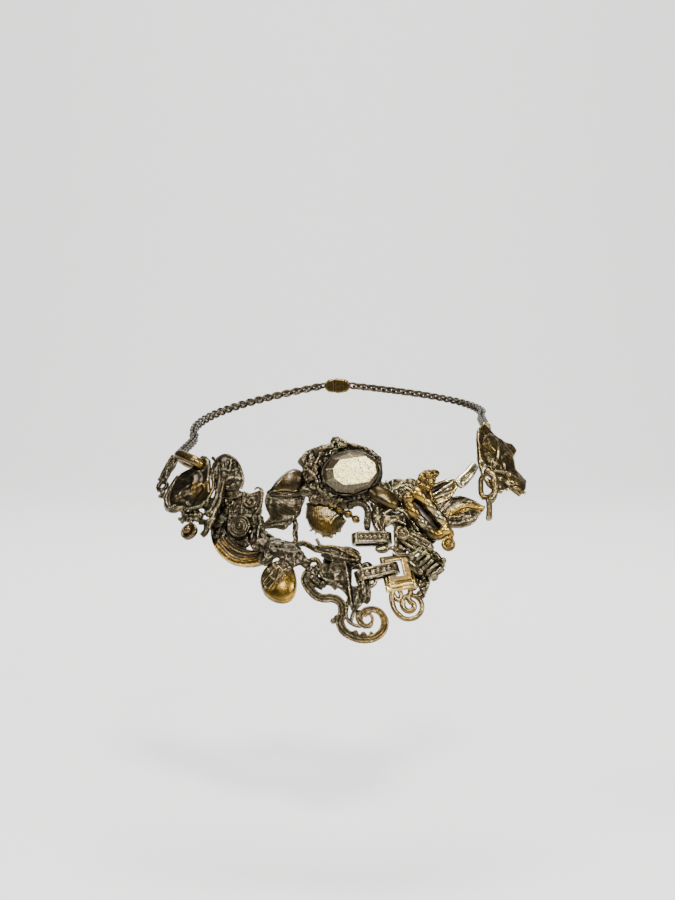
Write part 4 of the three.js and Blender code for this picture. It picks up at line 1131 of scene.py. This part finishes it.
@brass
def hoop_scroll(c):
    c.rod([(-5.6, 5.6, 0), (-6.2, 1.8, 0.1), (-5.2, -2.4, 0.2), (-2.6, -5.2, 0.1)], 0.95, 0.7)
    c.rod([(-3.2, 5.8, 0), (-2.6, 3.4, 0.3), (-3.6, 1.4, 0.3), (-5.6, 3.8, 0.1)], 0.7)
    c.rod([(1.4, 6.6, 0), (0.9, 4, 0.3), (0.2, 2.2, 0.3), (1.2, 0.4, 0.2)], 0.85)
    c.rod(curl(0.6, -0.6, 2.9, 1.2, 150, 0.85, 0.3, 12), 0.9, 0.7)
    c.skin("scroll")
    c.gold -= 0.2
    c.worn = 0.08
    c.push(0.3 + 0.06 * lumps(c.co, 1.5))


@brass
def gold_bud(c):
    for x, y, r in ((-1.4, 1.2, 1.9), (1.4, 2.2, 1.8), (1.8, -0.8, 1.6), (-1.6, -2, 1.6), (0.2, -3.2, 1.2)):
        c.ball(x, y, 2, r, 0.8)
    c.pad(2.4, 2.6, 1.2, 3.4, 2, 1.4, 25)
    c.rod([(1.4, -4, 1), (2, -8, 1.4), (3.6, -12, 1.2)], 0.9, 0.7)
    c.rod([(-1.8, -4.4, 0.6), (-0.6, -8.4, 1.2), (1.8, -12, 1)], 0.7)
    c.skin("wire")
    c.gold += 0.3
    c.push(0.4 * crumple(c.co, 2.2) - 0.15)
    c.cast_skin(0.07, 1)


@bronze
def upper_leaf(c):
    c.rod([(-8.6, 0, 1.2), (-4, 3, 1.6), (1.4, 3.6, 1.6), (6, 2, 1.4), (8.8, 0, 1)], 0.65)
    c.rod([(-8.6, -0.4, 1.2), (-3, -3.2, 1.6), (3, -3.4, 1.6), (8.8, -0.4, 1.2)], 0.75)
    c.rod([(-6, 0.4, 1.3), (0, 0.6, 1.9), (6.6, 0.2, 1.5)], 0.6)
    c.rod([(-12, -2.4, 1.2), (-8.4, -1.4, 1.6), (-4, -3, 1.8)], 0.9)
    c.pad(-8.4, 0.6, 0.6, 3.6, 3, 1)
    c.pad(-1, -4, 0.4, 5, 1.8, 0.8)
    c.skin()
    c.lift(-0.8 * c.dome(0.6, 1.8, 4.4, 1.1) + 0.12 * c.folds(80, 1.5, 0.6) + 0.35 * crumple(c.co, 3))
    c.gold = 0.5 * c.line([(-6, -2), (2, -3), (8, 0)], 1.4)
    c.worn = 0.20
    c.cast_skin(0.08, 1.2)


@bronze
def lower_leaf(c):
    c.rod([(-8.8, -4.2, 1.2), (-4, -0.6, 2.2), (1.6, 1.6, 2.4), (6, 1.4, 2), (10.2, 1, 1.4)], 0.85, 1.1)
    c.rod([(-6.6, -6, 1.2), (-1, -5, 1.6), (5, -3.4, 1.6), (8.4, -0.6, 1.4)], 0.6)
    c.rod([(-9.8, 1.4, 1), (-4.4, 4.8, 1.4), (1.2, 6.2, 1.3), (6.4, 4.2, 1.2), (10, 1.8, 1)], 0.45)
    c.rod([(-12, -2, 1), (-9, -3.6, 1.6), (-5.4, -3, 2)], 0.9)
    c.pad(-9.6, 1, 0.5, 3, 4, 1)
    c.skin("leaf")
    spread = c.fan(-11.5, -3.4, 19, 8) + 0.4 * lumps(c.co, 3)
    c.lift(0.26 * spread * ease(c.rim, 0.2, 1.4)
           + 0.8 * c.dome(0, 2.4, 7, 3.4, 10) + 0.5 * c.dome(0, -3, 6, 2))
    c.lift(0.35 * crumple(c.co, 3.4, 2))
    midrib = c.line([(-5, -1.4), (1.6, 1), (6, 1.6), (10, 0.8)], 1.7)
    c.gold = 1.1 * midrib + 0.6 * c.dome(9, 1, 3) - 0.1
    c.worn = 0.08 + 0.12 * midrib
    c.cast_skin(0.08, 1.1)


@brass
def bright_bar(c):
    c.skin("wire")
    c.lift(0.5 * c.dome(0, 0, 6, 2))
    c.push(0.35 + 0.16 * lumps(c.co, 2.2) + 0.05 * lumps(c.co, 0.9))
    c.gold -= 0.45
    c.worn = 0.34


@brass
def shoulder_ring(c):
    c.rod([(5.4, 0.4, 0.1), (3.2, 2.6, 0.2), (-1, 3.3, 0.2), (-5.2, 2.5, 0.2), (-7, 0.6, 0.1)], 1.45, 1.25)
    c.rod([(5.2, -0.8, 0.2), (2.4, -3, 0.3), (-2, -3.3, 0.2), (-5.6, -2, 0)], 0.6)
    for ball in ((5.7, 0.3, 0.1, 1.75), (1.4, 3, 0.3, 1.6), (-6.4, 1.2, 0.2, 1.6), (-9.2, 0.3, 0.2, 1.3),
                 (-13.8, 0.2, 0.1, 1.3)):
        c.ball(*ball)
    c.bm.transform(turned_by(60, "X"))     # the link hangs turned on its long axis
    c.skin("wire")
    c.soften(3)
    c.push(0.1 + 0.16 * lumps(c.co, 2.4) + 0.04 * lumps(c.co, 1))
    c.gold -= 0.30
    c.worn = 0.1 + 0.1 * lumps(c.co, 4)


@cast("dark_bronze", keep=0.8)
def shoulder_leaf(c):
    veins = (
        [(-9, -6, 1.2), (-3, -1, 1.7), (1.4, 6, 1.5), (0.6, 15, 1)],
        [(-4.6, -2.4, 1.4), (3, 1.4, 1.5), (10.6, 5, 1)],
        [(-7, -4.6, 1.3), (0, -6, 1.6), (6.6, -12, 1.1)],
        [(-5.4, -8, 1.3), (0.6, -10.4, 1.3), (3, -15.4, 1)],
        [(-4, 0, 1.2), (-8.6, 2, 1.1)], [(-1.4, 3.4, 1.4), (-5, 9.6, 1.1)])
    for vein in veins:
        c.rod(vein, 0.55, 0.35)
    c.rod([(-3.2, -13.4, 1.2), (0.4, -12.6, 1.7), (6.4, -15.6, 1.2)], 0.7)
    c.hoop(1.4, 15.4, 1, 1.7, 0.5)
    c.skin()
    c.lift(1.1 * c.dome(0.6, 2, 8, 10) + 0.7 * c.dome(4, -9, 5, 5)
           + 0.5 * crumple(c.co, 5.2) + 0.2 * c.fan(-9, -6, 9, 20))
    c.push(0.12 * lumps(c.co, 2) + 0.07 * lumps(c.co, 1))
    c.gold = 0.34 + 0.2 * lumps(c.co, 6)
    c.worn = 0.22 - 0.24 * ease(c.rim, 0.8, 0.2)


# ---- Straps --------------------------------------------------------------------------------

def rails_and_beads(c, length, beads, bead):
    """Two rails along a strap's outside face with a row of beads between them."""
    for i in range(beads):
        c.ball((i - (beads - 1) / 2) * (length - 5) / beads, 0, 3.15, bead, 0.8)
    end = length / 2 - 2.2
    for side in (-1.75, 1.75):
        c.rod([(-end, side, 3.05), (0, side, 3.3), (end, side, 3.05)], 0.55)


def strap_skin(c):
    c.skin("wire")
    c.worn = 0.16
    c.cast_skin(0.07, 1.3)


@bronze
def upper_strap(c):
    rails_and_beads(c, length=15.6, beads=6, bead=0.85)
    strap_skin(c)


@bronze
def lower_strap(c):
    rails_and_beads(c, length=17.6, beads=3, bead=1.25)
    c.rod([(-8, -1.4, 0.4), (-7.6, -3.8, 0.6), (-4.6, -5, 0.6), (-1.8, -3.8, 0.5), (-1.2, -1.4, 0.4)], 0.85)
    strap_skin(c)


# ---- Chain and clasp -----------------------------------------------------------------------

# The chain's oval round the neck; it runs from the first angle to the clasp's half-angle, in degrees.
CHAIN = dict(half_width=60.5, half_depth=62, centre_y=3, nape_z=54, first=-12, clasp=6.5, wear_and_painted_light=0.44)
CHAIN_STARTS = {"left": (-1, 62.6, -36, 30.6), "right": (1, 59.2, -31, 41.6)}
LINK = dict(long=2.1, wide=1.55, wire=0.52, pitch=2.35, lean=52)


def chain_route(side, start_x, start_y, start_z, stops=10):
    """A line from one end of the front, up and round behind the neck to the clasp."""
    points = [Vector((side * start_x, start_y, start_z))]
    last = 90 - CHAIN["clasp"]
    for i in range(stops + 1):
        angle = math.radians(CHAIN["first"] + (last - CHAIN["first"]) * i / stops)
        climb = (i + 2) / (stops + 2)
        points.append(Vector((side * CHAIN["half_width"] * math.cos(angle),
                              CHAIN["centre_y"] + CHAIN["half_depth"] * math.sin(angle),
                              start_z + (CHAIN["nape_z"] - start_z) * climb)))
    return spline(points, 12)


def curb_link():
    """One flat oval link round the origin, lying along X."""
    bm = bmesh.new()
    ring = bmesh.ops.create_circle(bm, segments=7, radius=LINK["wire"], matrix=(
        Matrix.Translation((LINK["wide"], 0, 0)) @ turned_by(90, "X")))["verts"]
    edges = list({e for v in ring for e in v.link_edges})
    bmesh.ops.spin(bm, geom=ring + edges, cent=(0, 0, 0), axis=(0, 0, 1), dvec=(0, 0, 0),
                   angle=math.tau, steps=14, use_merge=True)
    bmesh.ops.scale(bm, vec=(LINK["long"] / LINK["wide"], 1, 1), verts=bm.verts)
    bmesh.ops.recalc_face_normals(bm, faces=bm.faces)
    mesh = bpy.data.meshes.new("link")
    bm.to_mesh(mesh)
    bm.free()
    return mesh


def chain(side_name, link):
    """Links laid along one side's route, each leaning the other way from the one before."""
    path = chain_route(*CHAIN_STARTS[side_name])
    lengths = [0.0]
    for a, b in zip(path, path[1:]):
        lengths.append(lengths[-1] + (b - a).length)
    count = int(lengths[-1] / LINK["pitch"])
    halves = {"side": bmesh.new(), "nape": bmesh.new()}
    at = 0
    for i in range(count + 1):
        want = lengths[-1] * (i + 0.15) / (count + 0.3)
        while at < len(path) - 2 and lengths[at + 1] < want:
            at += 1
        step = path[at + 1] - path[at]
        place = path[at] + step * ((want - lengths[at]) / max(step.length, 1e-9))
        ahead = step.normalized()
        outward = Vector((place.x, place.y - CHAIN["centre_y"], 0)).normalized()
        up = outward.cross(ahead).normalized()
        turn = Matrix((ahead, up, ahead.cross(up))).transposed().to_4x4()
        lean = turned_by(LINK["lean"] if i % 2 else LINK["lean"] - 90, "X")
        bm = halves["side" if i < 0.5 * count else "nape"]
        before = len(bm.verts)
        bm.from_mesh(link)
        bm.verts.ensure_lookup_table()
        bmesh.ops.transform(bm, matrix=Matrix.Scale(MM, 4) @ Matrix.Translation(place) @ turn @ lean,
                            verts=bm.verts[before:])
    for part, bm in halves.items():
        mesh = bpy.data.meshes.new(f"chain_{side_name}_{part}")
        bm.to_mesh(mesh)
        bm.free()
        mesh.shade_smooth()
        store = mesh.attributes.new("wear_and_painted_light", "FLOAT", "POINT")
        store.data.foreach_set("value", np.full(len(mesh.vertices), CHAIN["wear_and_painted_light"], np.float32))
        mesh.materials.append(METAL["dark_bronze"])
        piece = bpy.data.objects.new(f"curb_{side_name}_{part}", mesh)
        bpy.context.scene.collection.objects.link(piece)
        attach(piece, "root")
        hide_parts(f"chain_{side_name}_{part}")


one_link = curb_link()
for collar_side in CHAIN_STARTS:
    chain(collar_side, one_link)
bpy.data.meshes.remove(one_link)


@brass
def clasp(c):
    c.skin("wire")
    c.soften(4)
    c.push(0.05 - 0.30 * np.exp(-((c.x - 1.4) / 0.35) ** 2) + 0.12 * np.exp(-((c.x + 2.6) / 0.5) ** 2))
    c.cast_skin(0.03, 2)


# ---- Floor, light and camera (metres) ------------------------------------------------------

FLOOR = dict(half_width=7, front=-6, level=-0.13, run=7.6, bends=12, step=0.14, wall=2.4)


def floor_sweep():
    """A flat floor that bends up into a wall, drawn on from its front edge."""
    bm = bmesh.new()
    sides = (-FLOOR["half_width"], FLOOR["half_width"])
    edge = [bm.edges.new([bm.verts.new((x, FLOOR["front"], FLOOR["level"])) for x in sides])]
    steps = [(0, FLOOR["run"], 0)]
    for i in range(FLOOR["bends"]):
        bend = math.radians(90 * (i + 0.5) / FLOOR["bends"])
        steps.append((0, FLOOR["step"] * math.cos(bend), FLOOR["step"] * math.sin(bend)))
    steps.append((0, 0, FLOOR["wall"]))
    for step in steps:
        grown = bmesh.ops.extrude_edge_only(bm, edges=edge)["geom"]
        verts = [g for g in grown if isinstance(g, bmesh.types.BMVert)]
        bmesh.ops.translate(bm, vec=step, verts=verts)
        edge = [g for g in grown if isinstance(g, bmesh.types.BMEdge) and all(v in verts for v in g.verts)]
    bmesh.ops.recalc_face_normals(bm, faces=bm.faces)
    mesh = bpy.data.meshes.new("floor")
    bm.to_mesh(mesh)
    bm.free()
    mesh.shade_smooth()
    return mesh


pale = Graph("pale_floor")
pale.settings(Base_Color=(0.80, 0.79, 0.78, 1), Roughness=0.9)
floor = bpy.data.objects.new("floor", floor_sweep())
floor.data.materials.append(pale.material)
bpy.context.scene.collection.objects.link(floor)

world = bpy.data.worlds.new("studio")
bpy.context.scene.world = world
world.use_nodes = True
background = world.node_tree.nodes["Background"]
background.inputs["Color"].default_value = (0.80, 0.80, 0.82, 1)
background.inputs["Strength"].default_value = 0.13

# name: place, aim, size, watts
LIGHTS = {
    "front_high": ((0.15, -1.2, 0.85), (0, 0, 0), 0.18, 27),
    "left_soft": ((-1.1, -0.8, 0.75), (0, 0, 0), 0.28, 14),
    "right_soft": ((1.1, -0.7, 0.55), (0, 0, 0), 0.22, 13),
    "overhead": ((0, 0.1, 1.4), (0, 0, 0), 0.6, 22),
    "floor_wash": ((0, -0.2, 1.9), (0, 0.6, -0.13), 1.2, 30),
    "sweep_wash": ((0, 0.9, 1.5), (0, 2.6, 0.5), 1.6, 60),
}
for name, (place, aim, size, watts) in LIGHTS.items():
    data = bpy.data.lights.new(name, "AREA")
    data.shape = "SQUARE"
    data.size = size
    data.energy = watts
    lamp = bpy.data.objects.new(name, data)
    lamp.location = place
    lamp.rotation_euler = (Vector(aim) - Vector(place)).to_track_quat("-Z", "Y").to_euler()
    bpy.context.scene.collection.objects.link(lamp)

# From the front, a little above the collar and tilted down by 90 less the tilt.
CAMERA = dict(place=(0, -0.7956, 0.0836), tilt=86.1, sensor=36, lens=76.2)
camera_data = bpy.data.cameras.new("camera")
camera_data.sensor_fit = "VERTICAL"
camera_data.sensor_height = CAMERA["sensor"]
camera_data.lens = CAMERA["lens"]
camera = bpy.data.objects.new("camera", camera_data)
camera.location = CAMERA["place"]
camera.rotation_euler = (math.radians(CAMERA["tilt"]), 0, 0)
bpy.context.scene.collection.objects.link(camera)
bpy.context.scene.camera = camera
